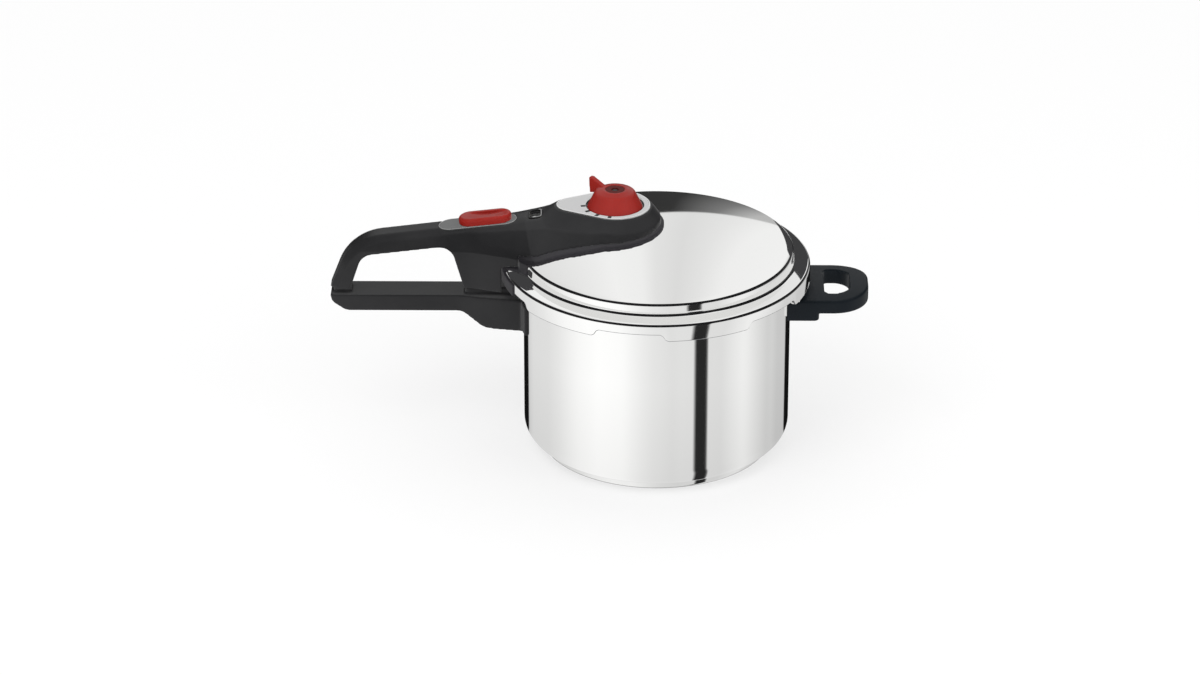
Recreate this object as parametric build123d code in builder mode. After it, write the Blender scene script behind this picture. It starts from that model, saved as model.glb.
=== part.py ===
from build123d import *
import math
import os

# Stovetop pressure cooker: a drawn steel pot with a long handle and a helper handle, and a bayonet lid
# whose loop handle carries the valves, the pressure selector, the opening button and its lock.
# Millimetres, +Z up. The origin is on the resting plane, under the pot's axis. The long handles run
# towards -X and the helper handle towards +X. Everything is drawn with the lid closed and locked.

os.makedirs("parts", exist_ok=True)

# ---- clearances
running_gap = 0.3            # between pieces that move past each other
shaft_gap = 0.1              # round a shaft or a pin that slides or turns in its bore
seat_gap = 0.25              # between a soft ring and the metal that it seals
cut_margin = 2.0             # how far a cutting tool reaches past what it cuts

# ---- pot
pot_radius = 111.0
pot_wall = 1.0
pot_corner_radius = 16.0
base_height = 6.5            # the pot's flat bottom lies this high, on the heat-spreading base
base_inset = 14.0            # how far the base lies inside the pot's wall
base_sheet = 0.8
rim_z = 158.0
rim_sheet = 1.2
rim_flange_reach = 5.2       # how far the rim stands out between the lugs
lug_reach = 10.5             # how far it stands out at the lugs
lug_depth = 6.5              # height of a lug's turned-down edge
lug_count = 6
lug_angle = 20.0
first_lug_angle = 169.5      # where the middle of the first lug lies round the pot

# ---- lid
lid_sheet = 1.2
dome_top_z = 194.0
dome_edge_drop = 17.4        # from the dome's middle down to where its round edge starts
dome_edge_radius = 2.6
lid_wall_reach = 2.0         # how far the lid's wall stands outside the pot's
flange_inner_z = 165.6
flange_outer_z = 164.5
skirt_reach = 5.5            # how far the skirt stands outside the lugs
skirt_gap_z = 155.2          # skirt's lower edge between the lips
lip_z = 149.4                # underside of the lips
lip_width = 9.0
lip_angle = 34.0

# ---- pot handle
bar_half_width = 14.25
bar_top_z = 137.0
bar_bottom_z = 123.0
bar_end_x = -271.5
root_bottom_z = 109.0        # underside of the deep part beside the pot
root_half_width = 24.5
rest_half_width = 9.5        # raised rests that the lid handle lies over
lid_handle_bottom_z = 143.5
loop_end_bottom_z = 141.5
bracket_sheet = 2.5
screw_radius = 2.5

# ---- helper handle
helper_tip_x = 175.5
helper_half_width = 36.5
helper_top_z = 143.0
helper_thickness = 11.5
helper_crown = 3.0           # how far the plate's top rises from its long edges to its middle
helper_block_z = 125.0
helper_corner_radius = 30.0
helper_hole_inner_x = 138.5
helper_hole_outer_x = 160.0
helper_hole_half_width = 23.0

# ---- lid handle
handle_wall = 3.0
underplate_height = 5.0      # the handle shell stands this high over the dome, on its underplate
bezel_margin = 3.0           # how far the underplate shows beyond the shell's flanks
wing_angle = 48.0
wing_sheet = 2.6
plate_seat_z = 213.4         # flat top of the deck that carries the selector plate
deck_rim = 1.3               # deck that shows round the plate

# ---- selector, at the vent
vent_x = -35.0
boss_radius = 40.2
plate_radius = 29.2
plate_nose_x = -69.4
plate_nose_radius = 14.0
deck_spread = 14.2           # how much wider the deck's nose is at its foot
plate_sheet = 1.0
knob_radius = 23.0
knob_top_z = 228.0
knob_hole_radius = 8.0
well_radius = 24.3
well_floor_z = 205.0
vent_radius = 5.0
vent_bore_radius = 1.6
vent_top_z = 219.5
fin_angle = 148.0
fin_width = 4.4
regulator_lift = 1.2

# ---- opening button and lock
button_length = 44.0
button_width = 20.0
button_x = -142.0
button_travel = 9.0
track_slope = 6.46           # degrees, the slope of the handle's top under the button
track_x = -148.5             # middle of the button's track
track_z = 198.9
track_length = 65.0
track_width = 21.6
track_depth = 1.9
guide_sheet = 1.0
bolt_y = -4.6
bolt_width = 7.8
bolt_z = 153.0
bolt_thickness = 2.5
bolt_tip_x = -119.5
slide_sheet = 2.0
slide_leg_x = -137.0
slide_top_z = 188.8

# ---- pressure indicator
indicator_x = -101.0
indicator_pin_radius = 2.0
indicator_rise = 3.5
indicator_bush_radius = 4.5
window_length = 9.0
window_width = 14.0

# ---- safety valve
safety_x = -68.0
safety_y = 16.0
safety_radius = 6.0
safety_lift = 1.5

# ---- sizes that follow
base_radius = pot_radius - base_inset
rim_flange_radius = pot_radius + rim_flange_reach
lug_radius = pot_radius + lug_reach
lid_wall_radius = pot_radius + lid_wall_reach
skirt_radius = lug_radius + skirt_reach
lip_inner_radius = skirt_radius - lip_width
dome_start_radius = lid_wall_radius - dome_edge_radius * 0.7
dome_sphere_radius = (dome_start_radius**2 + dome_edge_drop**2) / (2 * dome_edge_drop)
lug_pitch = 360 / lug_count


def dome_z(radius):
    """Height of the dome's outer surface at a distance from the lid's axis."""
    return dome_top_z - dome_sphere_radius + math.sqrt(dome_sphere_radius**2 - radius**2)


def outline(plane, points, radii):
    """Closed outline on a plane, from its corners and the rounding of each."""
    with BuildSketch(plane) as area:
        with BuildLine():
            FilletPolyline(*points, radius=radii, close=True)
        make_face()
    return area.sketch


def ring_sector(height, inner, outer, middle, width):
    """Piece of a flat ring round the pot's axis, between two angles."""
    with BuildSketch(Plane.XY.offset(height)) as area:
        with BuildLine():
            outside = CenterArc((0, 0), outer, middle - width / 2, width)
            inside = CenterArc((0, 0), inner, middle - width / 2, width)
            Line(outside @ 0, inside @ 0)
            Line(outside @ 1, inside @ 1)
        make_face()
    return area.sketch


def tube_profile(centre_x, inner, outer, low, high):
    """Half section of a plain round sleeve, to be revolved about a vertical axis at centre_x."""
    corners = [(centre_x + inner, low), (centre_x + outer, low), (centre_x + outer, high), (centre_x + inner, high)]
    return outline(Plane.XZ, corners, 0)


def upright(x, y=0):
    """Vertical axis through a point of the plan."""
    return Axis((x, y, 0), (0, 0, 1))


# ============================================================ pot body
# Pot shell: one drawn sheet, with a rim turned outwards and down at six lugs.
with BuildPart() as pot_shell:
    revolve(
        outline(
            Plane.XZ,
            [
                (0, base_height),
                (pot_radius, base_height),
                (pot_radius, rim_z - rim_sheet),
                (lug_radius - rim_sheet, rim_z - rim_sheet),
                (lug_radius - rim_sheet, rim_z - lug_depth),
                (lug_radius, rim_z - lug_depth),
                (lug_radius, rim_z),
                (pot_radius - pot_wall, rim_z),
                (pot_radius - pot_wall, base_height + pot_wall),
                (0, base_height + pot_wall),
            ],
            [0, pot_corner_radius, 0.8, 0.6, 0, 0, 1.6, 1.2, pot_corner_radius - pot_wall, 0],
        ),
        Axis.Z,
    )
    for lug in range(lug_count):
        rim_gap = ring_sector(
            rim_z - lug_depth - cut_margin,
            rim_flange_radius,
            lug_radius + cut_margin,
            first_lug_angle + (lug + 0.5) * lug_pitch,
            lug_pitch - lug_angle,
        )
        extrude(rim_gap, amount=lug_depth + 2 * cut_margin, mode=Mode.SUBTRACT)
pot_shell.part.label = "pot_shell"
export_step(pot_shell.part, "parts/pot_shell.step")

# Base cap and core: an aluminium disc pressed between the pot and a thin steel cap.
with BuildPart() as base_cap:
    revolve(
        outline(
            Plane.XZ,
            [
                (0, 0),
                (base_radius, 0),
                (base_radius, base_height),
                (base_radius - base_sheet, base_height),
                (base_radius - base_sheet, base_sheet),
                (0, base_sheet),
            ],
            [0, 2.2, 0, 0, 1.4, 0],
        ),
        Axis.Z,
    )
base_cap.part.label = "base_cap"
export_step(base_cap.part, "parts/base_cap.step")

with BuildPart() as base_core:
    core_radius = base_radius - base_sheet
    revolve(
        outline(
            Plane.XZ,
            [(0, base_sheet), (core_radius, base_sheet), (core_radius, base_height), (0, base_height)],
            [0, 1.4, 0, 0],
        ),
        Axis.Z,
    )
base_core.part.label = "base_core"
export_step(base_core.part, "parts/base_core.step")

# ============================================================ long pot handle
# Handle bracket: a curved pad welded to the pot, with a tongue that the handle slides over.
tongue_z = 122.5
tongue_end_x = -152.0
tongue_half_width = 9.0
pad_angle = 13.0
pad_low_z = root_bottom_z + 3
pad_high_z = bar_top_z - 3
handle_screw_x = -140.0
handle_screw_head_z = 113.5

with BuildPart() as handle_bracket:
    pad = ring_sector(pad_low_z, pot_radius, pot_radius + bracket_sheet, 180, pad_angle)
    extrude(pad, amount=pad_high_z - pad_low_z)
    with BuildSketch(Plane.XY.offset(tongue_z)):
        tongue_root_x = -pot_radius - bracket_sheet / 2
        tongue_length = tongue_root_x - tongue_end_x
        with Locations((tongue_end_x + tongue_length / 2, 0)):
            Rectangle(tongue_length, 2 * tongue_half_width)
        with Locations((handle_screw_x, 0)):
            Circle(screw_radius, mode=Mode.SUBTRACT)
    extrude(amount=bracket_sheet)
handle_bracket.part.label = "handle_bracket"
export_step(handle_bracket.part, "parts/handle_bracket.step")

# Pot handle: a bar of black phenolic that deepens into a root beside the pot, where a saddle hugs the
# wall. Two low rests on its top carry the lid handle's weight line.
with BuildPart() as pot_handle:
    pot_side_x = -pot_radius + 12
    extrude(
        outline(
            Plane.XZ,
            [
                (bar_end_x, bar_top_z),
                (bar_end_x + 1.5, bar_top_z - 6),
                (bar_end_x + 13, bar_bottom_z),
                (-162, bar_bottom_z),
                (-143, root_bottom_z),
                (pot_side_x, root_bottom_z),
                (pot_side_x, bar_top_z),
            ],
            [1.0, 5, 6, 16, 16, 0, 0],
        ),
        amount=root_half_width + cut_margin,
        both=True,
    )
    extrude(
        outline(
            Plane.XY.offset(root_bottom_z - cut_margin),
            [
                (bar_end_x - 1, -bar_half_width),
                (-163, -bar_half_width),
                (-147, -bar_half_width - 4),
                (-pot_radius, -root_half_width),
                (pot_side_x, -root_half_width),
                (pot_side_x, root_half_width),
                (-pot_radius, root_half_width),
                (-147, bar_half_width + 4),
                (-163, bar_half_width),
                (bar_end_x - 1, bar_half_width),
            ],
            [6, 30, 30, 0, 0, 0, 0, 30, 30, 6],
        ),
        amount=bar_top_z - root_bottom_z + 2 * cut_margin,
        mode=Mode.INTERSECT,
    )
    saddle = ring_sector(root_bottom_z + 2, pot_radius, pot_radius + 4.5, 180, 38)
    extrude(saddle, amount=bar_top_z - root_bottom_z - 2)
    front_rest_x = -139.0
    with BuildSketch(Plane.XY.offset(bar_top_z - 1)):
        with Locations((front_rest_x, 0)):
            RectangleRounded(40, 2 * rest_half_width + 4, 3)
    extrude(amount=lid_handle_bottom_z - running_gap - bar_top_z + 1)
    end_rest_x = -261.0
    with BuildSketch(Plane.XY.offset(bar_top_z - 1)):
        with Locations((end_rest_x, 0)):
            RectangleRounded(14, 2 * rest_half_width - 2, 2.5)
    extrude(amount=loop_end_bottom_z - running_gap - bar_top_z + 1)
    # room for the pot, the bracket and the screw
    with BuildSketch(Plane.XY.offset(root_bottom_z - cut_margin)):
        Circle(pot_radius + running_gap)
    extrude(amount=bar_top_z - root_bottom_z + 4 * cut_margin, mode=Mode.SUBTRACT)
    pad_room = ring_sector(
        pad_low_z - running_gap, pot_radius - 1, pot_radius + bracket_sheet + running_gap, 180, pad_angle + 1
    )
    extrude(pad_room, amount=pad_high_z - pad_low_z + 2 * running_gap, mode=Mode.SUBTRACT)
    with BuildSketch(Plane.XY.offset(tongue_z - shaft_gap)):
        room_length = tongue_root_x - tongue_end_x + running_gap
        with Locations((tongue_root_x - room_length / 2, 0)):
            Rectangle(room_length, 2 * (tongue_half_width + shaft_gap))
    extrude(amount=bracket_sheet + 2 * shaft_gap, mode=Mode.SUBTRACT)
    with BuildSketch(Plane.XY.offset(root_bottom_z - cut_margin)):
        with Locations((handle_screw_x, 0)):
            Circle(screw_radius + running_gap)
    extrude(amount=24, mode=Mode.SUBTRACT)
    with BuildSketch(Plane.XY.offset(root_bottom_z - cut_margin)):
        with Locations((handle_screw_x, 0)):
            Circle(2 * screw_radius + running_gap)
    extrude(amount=handle_screw_head_z - root_bottom_z + cut_margin, mode=Mode.SUBTRACT)
pot_handle.part.label = "pot_handle"
export_step(pot_handle.part, "parts/pot_handle.step")

# Pot handle screw: a pan head sunk in the handle's underside, with its shank through the tongue.
with BuildPart() as pot_handle_screw:
    head_low_z = handle_screw_head_z - 3
    revolve(
        outline(
            Plane.XZ,
            [
                (handle_screw_x, head_low_z),
                (handle_screw_x + 2 * screw_radius, head_low_z),
                (handle_screw_x + 2 * screw_radius, handle_screw_head_z),
                (handle_screw_x + screw_radius, handle_screw_head_z),
                (handle_screw_x + screw_radius, handle_screw_head_z + 16),
                (handle_screw_x, handle_screw_head_z + 16),
            ],
            [0, 1.2, 0, 0, 0.6, 0],
        ),
        upright(handle_screw_x),
    )
    with BuildSketch(Plane.XY.offset(head_low_z)):
        with Locations((handle_screw_x, 0)):
            Rectangle(5.5, 1.2)
            Rectangle(1.2, 5.5)
    extrude(amount=1.5, mode=Mode.SUBTRACT)
pot_handle_screw.part.label = "pot_handle_screw"
export_step(pot_handle_screw.part, "parts/pot_handle_screw.step")

# ============================================================ helper handle
# Helper bracket: a bright steel saddle welded to the pot, with a top flange and a tongue.
helper_pad_low_z = 127.0
helper_pad_angle = 32.0
helper_flange_reach = 1.0    # how far the flange stands outside the lugs
helper_flange_radius = lug_radius + helper_flange_reach
helper_tongue_z = 134.5
helper_tongue_end_x = 134.0
helper_tongue_half_width = 15.0
helper_screw_x = 127.5
helper_screw_y = 9.0
helper_screw_radius = 2.0
helper_sheet = 1.5
helper_flange_z = helper_top_z - helper_sheet

with BuildPart() as helper_bracket:
    pad = ring_sector(helper_pad_low_z, pot_radius, pot_radius + helper_sheet, 0, helper_pad_angle)
    extrude(pad, amount=helper_top_z - helper_pad_low_z)
    flange = ring_sector(helper_flange_z, pot_radius + 0.5, helper_flange_radius, 0, helper_pad_angle)
    extrude(flange, amount=helper_sheet)
    with BuildSketch(Plane.XY.offset(helper_tongue_z)):
        helper_tongue_length = helper_tongue_end_x - pot_radius - helper_sheet / 2
        with Locations((helper_tongue_end_x - helper_tongue_length / 2, 0)):
            Rectangle(helper_tongue_length, 2 * helper_tongue_half_width)
        with Locations((helper_screw_x, helper_screw_y), (helper_screw_x, -helper_screw_y)):
            Circle(helper_screw_radius, mode=Mode.SUBTRACT)
    extrude(amount=helper_sheet)
helper_bracket.part.label = "helper_bracket"
export_step(helper_bracket.part, "parts/helper_bracket.step")

# Helper handle: a D-shaped loop of phenolic, thicker where it is screwed to the bracket.
helper_plate_z = helper_top_z - helper_thickness
helper_block_end_x = 134.0
helper_crown_radius = (helper_half_width**2 + helper_crown**2) / (2 * helper_crown)
with BuildPart() as helper_handle:
    extrude(
        outline(
            Plane.XY.offset(helper_plate_z),
            [
                (pot_radius - 10, -helper_half_width),
                (helper_tip_x, -helper_half_width),
                (helper_tip_x, helper_half_width),
                (pot_radius - 10, helper_half_width),
            ],
            [0, helper_corner_radius, helper_corner_radius, 0],
        ),
        amount=helper_thickness + helper_crown,
    )
    with BuildSketch(Plane.YZ.offset(pot_radius - 12)):
        with Locations((0, helper_top_z + helper_crown)):
            Rectangle(2 * helper_half_width + 4, 4 * helper_crown)
        with Locations((0, helper_top_z + helper_crown - helper_crown_radius)):
            Circle(helper_crown_radius, mode=Mode.SUBTRACT)
    extrude(amount=helper_tip_x - pot_radius + 14, mode=Mode.SUBTRACT)
    tip_faces = [helper_handle.faces().sort_by(Axis.Z)[0], helper_handle.faces().sort_by(Axis.Z)[-1]]
    tip_edges = [edge for face in tip_faces for edge in face.edges() if edge.center().X > pot_radius]
    fillet(tip_edges, 2.0)
    with BuildSketch(Plane.XY.offset(helper_block_z)):
        with Locations(((pot_radius - 10 + helper_block_end_x) / 2, 0)):
            RectangleRounded(helper_block_end_x - pot_radius + 10, 2 * helper_half_width, 4)
    extrude(amount=helper_plate_z - helper_block_z + 3)
    extrude(
        outline(
            Plane.XY.offset(helper_plate_z - cut_margin),
            [
                (helper_hole_inner_x, -helper_hole_half_width),
                (helper_hole_outer_x, -helper_hole_half_width),
                (helper_hole_outer_x, helper_hole_half_width),
                (helper_hole_inner_x, helper_hole_half_width),
            ],
            [5, 14, 14, 5],
        ),
        amount=helper_thickness + helper_crown + 2 * cut_margin,
        mode=Mode.SUBTRACT,
    )
    # room for the pot, the bracket's pad, its flange and tongue, and the screws
    with BuildSketch(Plane.XY.offset(helper_block_z - cut_margin)):
        Circle(pot_radius + helper_sheet + running_gap)
    extrude(amount=helper_top_z - helper_block_z + helper_crown + 2 * cut_margin, mode=Mode.SUBTRACT)
    with BuildSketch(Plane.XY.offset(helper_flange_z - running_gap)):
        Circle(helper_flange_radius + running_gap)
    extrude(amount=helper_sheet + helper_crown + cut_margin, mode=Mode.SUBTRACT)
    with BuildSketch(Plane.XY.offset(helper_tongue_z - shaft_gap)):
        with Locations((helper_tongue_end_x - 15, 0)):
            Rectangle(30 + 2 * shaft_gap, 2 * (helper_tongue_half_width + shaft_gap))
    extrude(amount=helper_sheet + 2 * shaft_gap, mode=Mode.SUBTRACT)
    with BuildSketch(Plane.XY.offset(helper_block_z - cut_margin)):
        with Locations((helper_screw_x, helper_screw_y), (helper_screw_x, -helper_screw_y)):
            Circle(helper_screw_radius + running_gap)
    extrude(amount=17, mode=Mode.SUBTRACT)
    with BuildSketch(Plane.XY.offset(helper_block_z - cut_margin)):
        with Locations((helper_screw_x, helper_screw_y), (helper_screw_x, -helper_screw_y)):
            Circle(2 * helper_screw_radius + running_gap)
    extrude(amount=4 + cut_margin, mode=Mode.SUBTRACT)
helper_handle.part.label = "helper_handle"
export_step(helper_handle.part, "parts/helper_handle.step")

with BuildPart() as helper_handle_screws:
    screw_places = [(helper_screw_x, helper_screw_y), (helper_screw_x, -helper_screw_y)]
    with BuildSketch(Plane.XY.offset(helper_block_z + 1.4)):
        with Locations(*screw_places):
            Circle(2 * helper_screw_radius)
    extrude(amount=2.6)
    with BuildSketch(Plane.XY.offset(helper_block_z + 4)):
        with Locations(*screw_places):
            Circle(helper_screw_radius)
    extrude(amount=10.5)
    with BuildSketch(Plane.XY.offset(helper_block_z + 1.4)):
        with Locations(*screw_places):
            Rectangle(4.5, 1)
            Rectangle(1, 4.5)
    extrude(amount=1.2, mode=Mode.SUBTRACT)
helper_handle_screws.part.label = "helper_handle_screws"
export_step(helper_handle_screws.part, "parts/helper_handle_screws.step")

# ============================================================ seal
# Sealing gasket: a silicone ring that lies on the rim under the lid's flange, with a slit on its inside.
gasket_inner_radius = lid_wall_radius - lid_sheet + 0.8
gasket_outer_radius = skirt_radius - lid_sheet - 1.2
gasket_low_z = rim_z + seat_gap
gasket_high_z = flange_outer_z - lid_sheet - seat_gap
with BuildPart() as sealing_gasket:
    slit_z = (gasket_low_z + gasket_high_z) / 2
    revolve(
        outline(
            Plane.XZ,
            [
                (gasket_inner_radius, gasket_low_z),
                (gasket_outer_radius, gasket_low_z),
                (gasket_outer_radius, gasket_high_z),
                (gasket_inner_radius, gasket_high_z),
                (gasket_inner_radius, slit_z + 0.7),
                (gasket_outer_radius - 4, slit_z + 0.5),
                (gasket_outer_radius - 4, slit_z - 0.5),
                (gasket_inner_radius, slit_z - 0.7),
            ],
            [0.6, 1.5, 1.5, 0.6, 0.3, 0.3, 0.3, 0.3],
        ),
        Axis.Z,
    )
sealing_gasket.part.label = "sealing_gasket"
export_step(sealing_gasket.part, "parts/sealing_gasket.step")


# ============================================================ lid
def lid_section(offset, low_z):
    """Half section of the closed space under the lid's outer surface, grown outwards by an offset."""
    sphere = dome_sphere_radius + offset
    slope = math.degrees(math.asin(dome_start_radius / dome_sphere_radius))
    start = (
        sphere * math.sin(math.radians(slope)),
        dome_top_z - dome_sphere_radius + sphere * math.cos(math.radians(slope)),
    )
    middle = (
        sphere * math.sin(math.radians(slope / 2)),
        dome_top_z - dome_sphere_radius + sphere * math.cos(math.radians(slope / 2)),
    )
    with BuildSketch(Plane.XZ) as area:
        with BuildLine():
            dome = ThreePointArc((0, dome_top_z + offset), middle, start)
            edge = JernArc(dome @ 1, dome % 1, dome_edge_radius + offset, -(90 - slope))
            wall_radius = (edge @ 1).X
            below = FilletPolyline(
                edge @ 1,
                (wall_radius, flange_inner_z + offset),
                (skirt_radius + offset, flange_outer_z + offset),
                (skirt_radius + offset, low_z),
                radius=[max(1.8 - offset, 0.5), max(2.2 + offset, 0.5)],
            )
            Polyline(below @ 1, (0, low_z), (0, dome_top_z + offset))
        make_face()
    return area.sketch


# Lid shell: one pressed sheet with a dome, a side wall, a flange and a skirt. Six lips turned in from
# the skirt hook under the rim's lugs, and the skirt is cut higher between them.
with BuildPart() as lid_shell:
    revolve(lid_section(0, lip_z), Axis.Z)
    revolve(lid_section(-lid_sheet, lip_z - cut_margin), Axis.Z, mode=Mode.SUBTRACT)
    for lug in range(lug_count):
        lip_middle = first_lug_angle + lug * lug_pitch
        lip = ring_sector(lip_z, lip_inner_radius, skirt_radius - lid_sheet / 2, lip_middle, lip_angle)
        extrude(lip, amount=lid_sheet)
        skirt_gap = ring_sector(
            lip_z - cut_margin,
            lip_inner_radius,
            skirt_radius + cut_margin,
            lip_middle + lug_pitch / 2,
            lug_pitch - lip_angle,
        )
        extrude(skirt_gap, amount=skirt_gap_z - lip_z + cut_margin, mode=Mode.SUBTRACT)
    with BuildSketch(Plane.XY.offset(lip_z)):
        with Locations((vent_x, 0)):
            Circle(vent_radius + shaft_gap)
        with Locations((indicator_x, 0)):
            Circle(indicator_bush_radius + shaft_gap)
        with Locations((safety_x, safety_y)):
            Circle(safety_radius + shaft_gap)
    extrude(amount=dome_top_z - lip_z + cut_margin, mode=Mode.SUBTRACT)
    with BuildSketch(Plane.XY.offset(bolt_z - 0.8)):
        with Locations((-skirt_radius, bolt_y)):
            Rectangle(8, bolt_width + 1.6)
    extrude(amount=bolt_thickness + 1.6, mode=Mode.SUBTRACT)
lid_shell.part.label = "lid_shell"
export_step(lid_shell.part, "parts/lid_shell.step")

# ============================================================ lid handle
# Corners of the handle's side in plan, as half widths along X: at its foot and above its crease.
foot_corners = [(-178, 13.4), (-153, 14.8), (-120, 26.5), (-100, 38.6), (-76, 39.9), (vent_x, boss_radius)]
crease_corners = [(-178, 14.0), (-153, 14.9), (-120, 15.5), (-100, 20.0), (-76, 30.5), (vent_x, boss_radius - 2.2)]
corner_radii = [50, 60, 25, 30]
foot_top_z = 184.0
crease_top_z = 203.5

# The handle's crown: distance along X, crest height, then half width and height of the shoulder and of
# the crease where the flank begins.
crown_sections = [
    (-180, 195.1, 7.0, 193.9, 14.0, 190.6),
    (-160, 197.4, 8.0, 196.2, 14.7, 193.4),
    (-145, 199.1, 9.0, 197.9, 15.6, 195.4),
    (-130, 200.7, 10.0, 199.5, 17.0, 197.0),
    (-115, 202.5, 11.0, 201.3, 19.0, 198.8),
    (-102, 204.9, 11.5, 203.7, 22.0, 200.4),
    (-90, 206.6, 12.0, 205.6, 26.0, 202.0),
    (-79, 208.4, 14.0, 207.6, 30.0, 203.0),
    (-62, plate_seat_z, 21.0, 213.1, 36.5, 203.6),
    (10, plate_seat_z, 21.0, 213.1, 36.5, 203.6),
]
crown_reach = 60.0           # how far the crown's slopes are drawn beyond the handle


def handle_plan(height, corners, inset, start_x):
    """Plan of the handle from the finger loop to round the boss, drawn in by an inset."""
    side = [(max(x, start_x), half - inset) for x, half in corners]
    with BuildSketch(Plane.XY.offset(height)) as area:
        with BuildLine():
            right = FilletPolyline(*side, radius=corner_radii)
            left = FilletPolyline(*[(x, -y) for x, y in side], radius=corner_radii)
            ThreePointArc(right @ 1, (vent_x + side[-1][1], 0), left @ 1)
            Line(left @ 0, right @ 0)
        make_face()
    return area.sketch


def handle_crown(inset):
    """Everything below the handle's top, lowered by an inset."""
    sections = []
    for x, crest, shoulder_y, shoulder_z, crease_y, crease_z in crown_sections:
        slope = (shoulder_z - crease_z) / (crease_y - shoulder_y)
        far_z = shoulder_z - slope * (crown_reach - shoulder_y) - inset
        with BuildSketch(Plane.YZ.offset(x)) as section:
            with BuildLine():
                right = (shoulder_y, shoulder_z - inset)
                left = (-shoulder_y, shoulder_z - inset)
                ThreePointArc(left, (0, crest - inset), right)
                Polyline(
                    right, (crown_reach, far_z), (crown_reach, 130), (-crown_reach, 130), (-crown_reach, far_z), left
                )
            make_face()
        sections.append(section.sketch)
    with BuildPart() as crown:
        loft(sections, ruled=True)
    return crown.part


def handle_flanks(inset, floor_z, start_x):
    """Everything inside the handle's sides, drawn in by an inset."""
    with BuildPart() as flanks:
        loft(
            [
                handle_plan(floor_z, foot_corners, inset, start_x),
                handle_plan(foot_top_z, foot_corners, inset, start_x),
                handle_plan(crease_top_z, crease_corners, inset, start_x),
            ],
            ruled=True,
        )
    return flanks.part


def plate_outline(height, round_radius, nose_radius):
    """Plan of the selector plate: round at the vent, with a blunt nose towards the window."""
    with BuildSketch(Plane.XY.offset(height)) as area:
        with Locations((vent_x, 0)):
            Circle(round_radius)
        with Locations((plate_nose_x, 0)):
            Circle(nose_radius)
        make_hull()
    return area.sketch


# The space kept clear over the lid: the underplate fills the layer between the two.
with BuildPart() as shell_clearance:
    layer_arc_radius = dome_sphere_radius + underplate_height
    layer_edge = lid_wall_radius + underplate_height
    layer_edge_z = dome_top_z - dome_sphere_radius + math.sqrt(layer_arc_radius**2 - layer_edge**2)
    layer_middle_z = dome_top_z - dome_sphere_radius + math.sqrt(layer_arc_radius**2 - (layer_edge / 2) ** 2)
    wing_radius = skirt_radius + running_gap + wing_sheet
    with BuildSketch(Plane.XZ):
        with BuildLine():
            ThreePointArc(
                (0, dome_top_z + underplate_height), (layer_edge / 2, layer_middle_z), (layer_edge, layer_edge_z)
            )
            Polyline(
                (layer_edge, layer_edge_z),
                (layer_edge, flange_inner_z + 4),
                (wing_radius + running_gap, flange_outer_z + 2.5),
                (wing_radius + running_gap, lip_z - 10),
                (0, lip_z - 10),
                (0, dome_top_z + underplate_height),
            )
        make_face()
    revolve(axis=Axis.Z)

with BuildPart() as lid_clearance:
    revolve(lid_section(running_gap, lip_z - 12), Axis.Z)

# The handle's hollow, which stops short of the wall that faces the lid's skirt.
cavity_end_x = -160.0
with BuildPart() as handle_cavity:
    add(handle_flanks(handle_wall, lid_handle_bottom_z + handle_wall, cavity_end_x))
    add(handle_crown(handle_wall), mode=Mode.INTERSECT)
    with BuildSketch(Plane.XY.offset(lid_handle_bottom_z - cut_margin)):
        Circle(wing_radius + running_gap + handle_wall)
    extrude(amount=flange_inner_z + 4 + handle_wall - lid_handle_bottom_z, mode=Mode.SUBTRACT)

track_plane = Plane(
    origin=(track_x, 0, track_z),
    x_dir=(math.cos(math.radians(track_slope)), 0, math.sin(math.radians(track_slope))),
    z_dir=(-math.sin(math.radians(track_slope)), 0, math.cos(math.radians(track_slope))),
)
window_slope = 9.5
window_plane = Plane(
    origin=(indicator_x, 0, 205.3),
    x_dir=(math.cos(math.radians(window_slope)), 0, math.sin(math.radians(window_slope))),
    z_dir=(-math.sin(math.radians(window_slope)), 0, math.cos(math.radians(window_slope))),
)
stem_length = 10.0
stem_width = 5.0
stem_x = -144.0
slot_length = stem_length + button_travel + 2 * running_gap + 1.5
slot_x = stem_x - button_travel / 2
window_frame_rim = 1.3
underplate_screw_places = [(-80.0, 23.5), (-80.0, -23.5), (-13.0, 0.0)]
underplate_screw_radius = 1.5
screw_post_radius = 4.0

# Lid handle shell: a moulded loop that widens into a flank over the lid and a round boss at the vent.
arm_root_x = -176.0
arm_half_width = bar_half_width - 0.3
arm_crown_half_width = 7.0


def arm_side(y, end_x, corner, corner_radius, root_z):
    """Side outline of the arm and the loop's end, at a distance from the handle's middle."""
    corners = [
        (end_x, loop_end_bottom_z),
        corner,
        (arm_root_x, root_z),
        (arm_root_x, lid_handle_bottom_z),
        (-230, loop_end_bottom_z),
    ]
    return outline(Plane.XZ.offset(y), corners, [0, corner_radius, 0, 0, 0])


# The arm's crown falls by 5 mm towards its sides.
with BuildPart() as loop_arm:
    loft(
        [
            arm_side(-arm_half_width, -265.8, (-250.4, 181.2), 39, 190.6),
            arm_side(-arm_crown_half_width, -271.2, (-254.0, 185.8), 44, 195.6),
            arm_side(arm_crown_half_width, -271.2, (-254.0, 185.8), 44, 195.6),
            arm_side(arm_half_width, -265.8, (-250.4, 181.2), 39, 190.6),
        ],
        ruled=True,
    )

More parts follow.
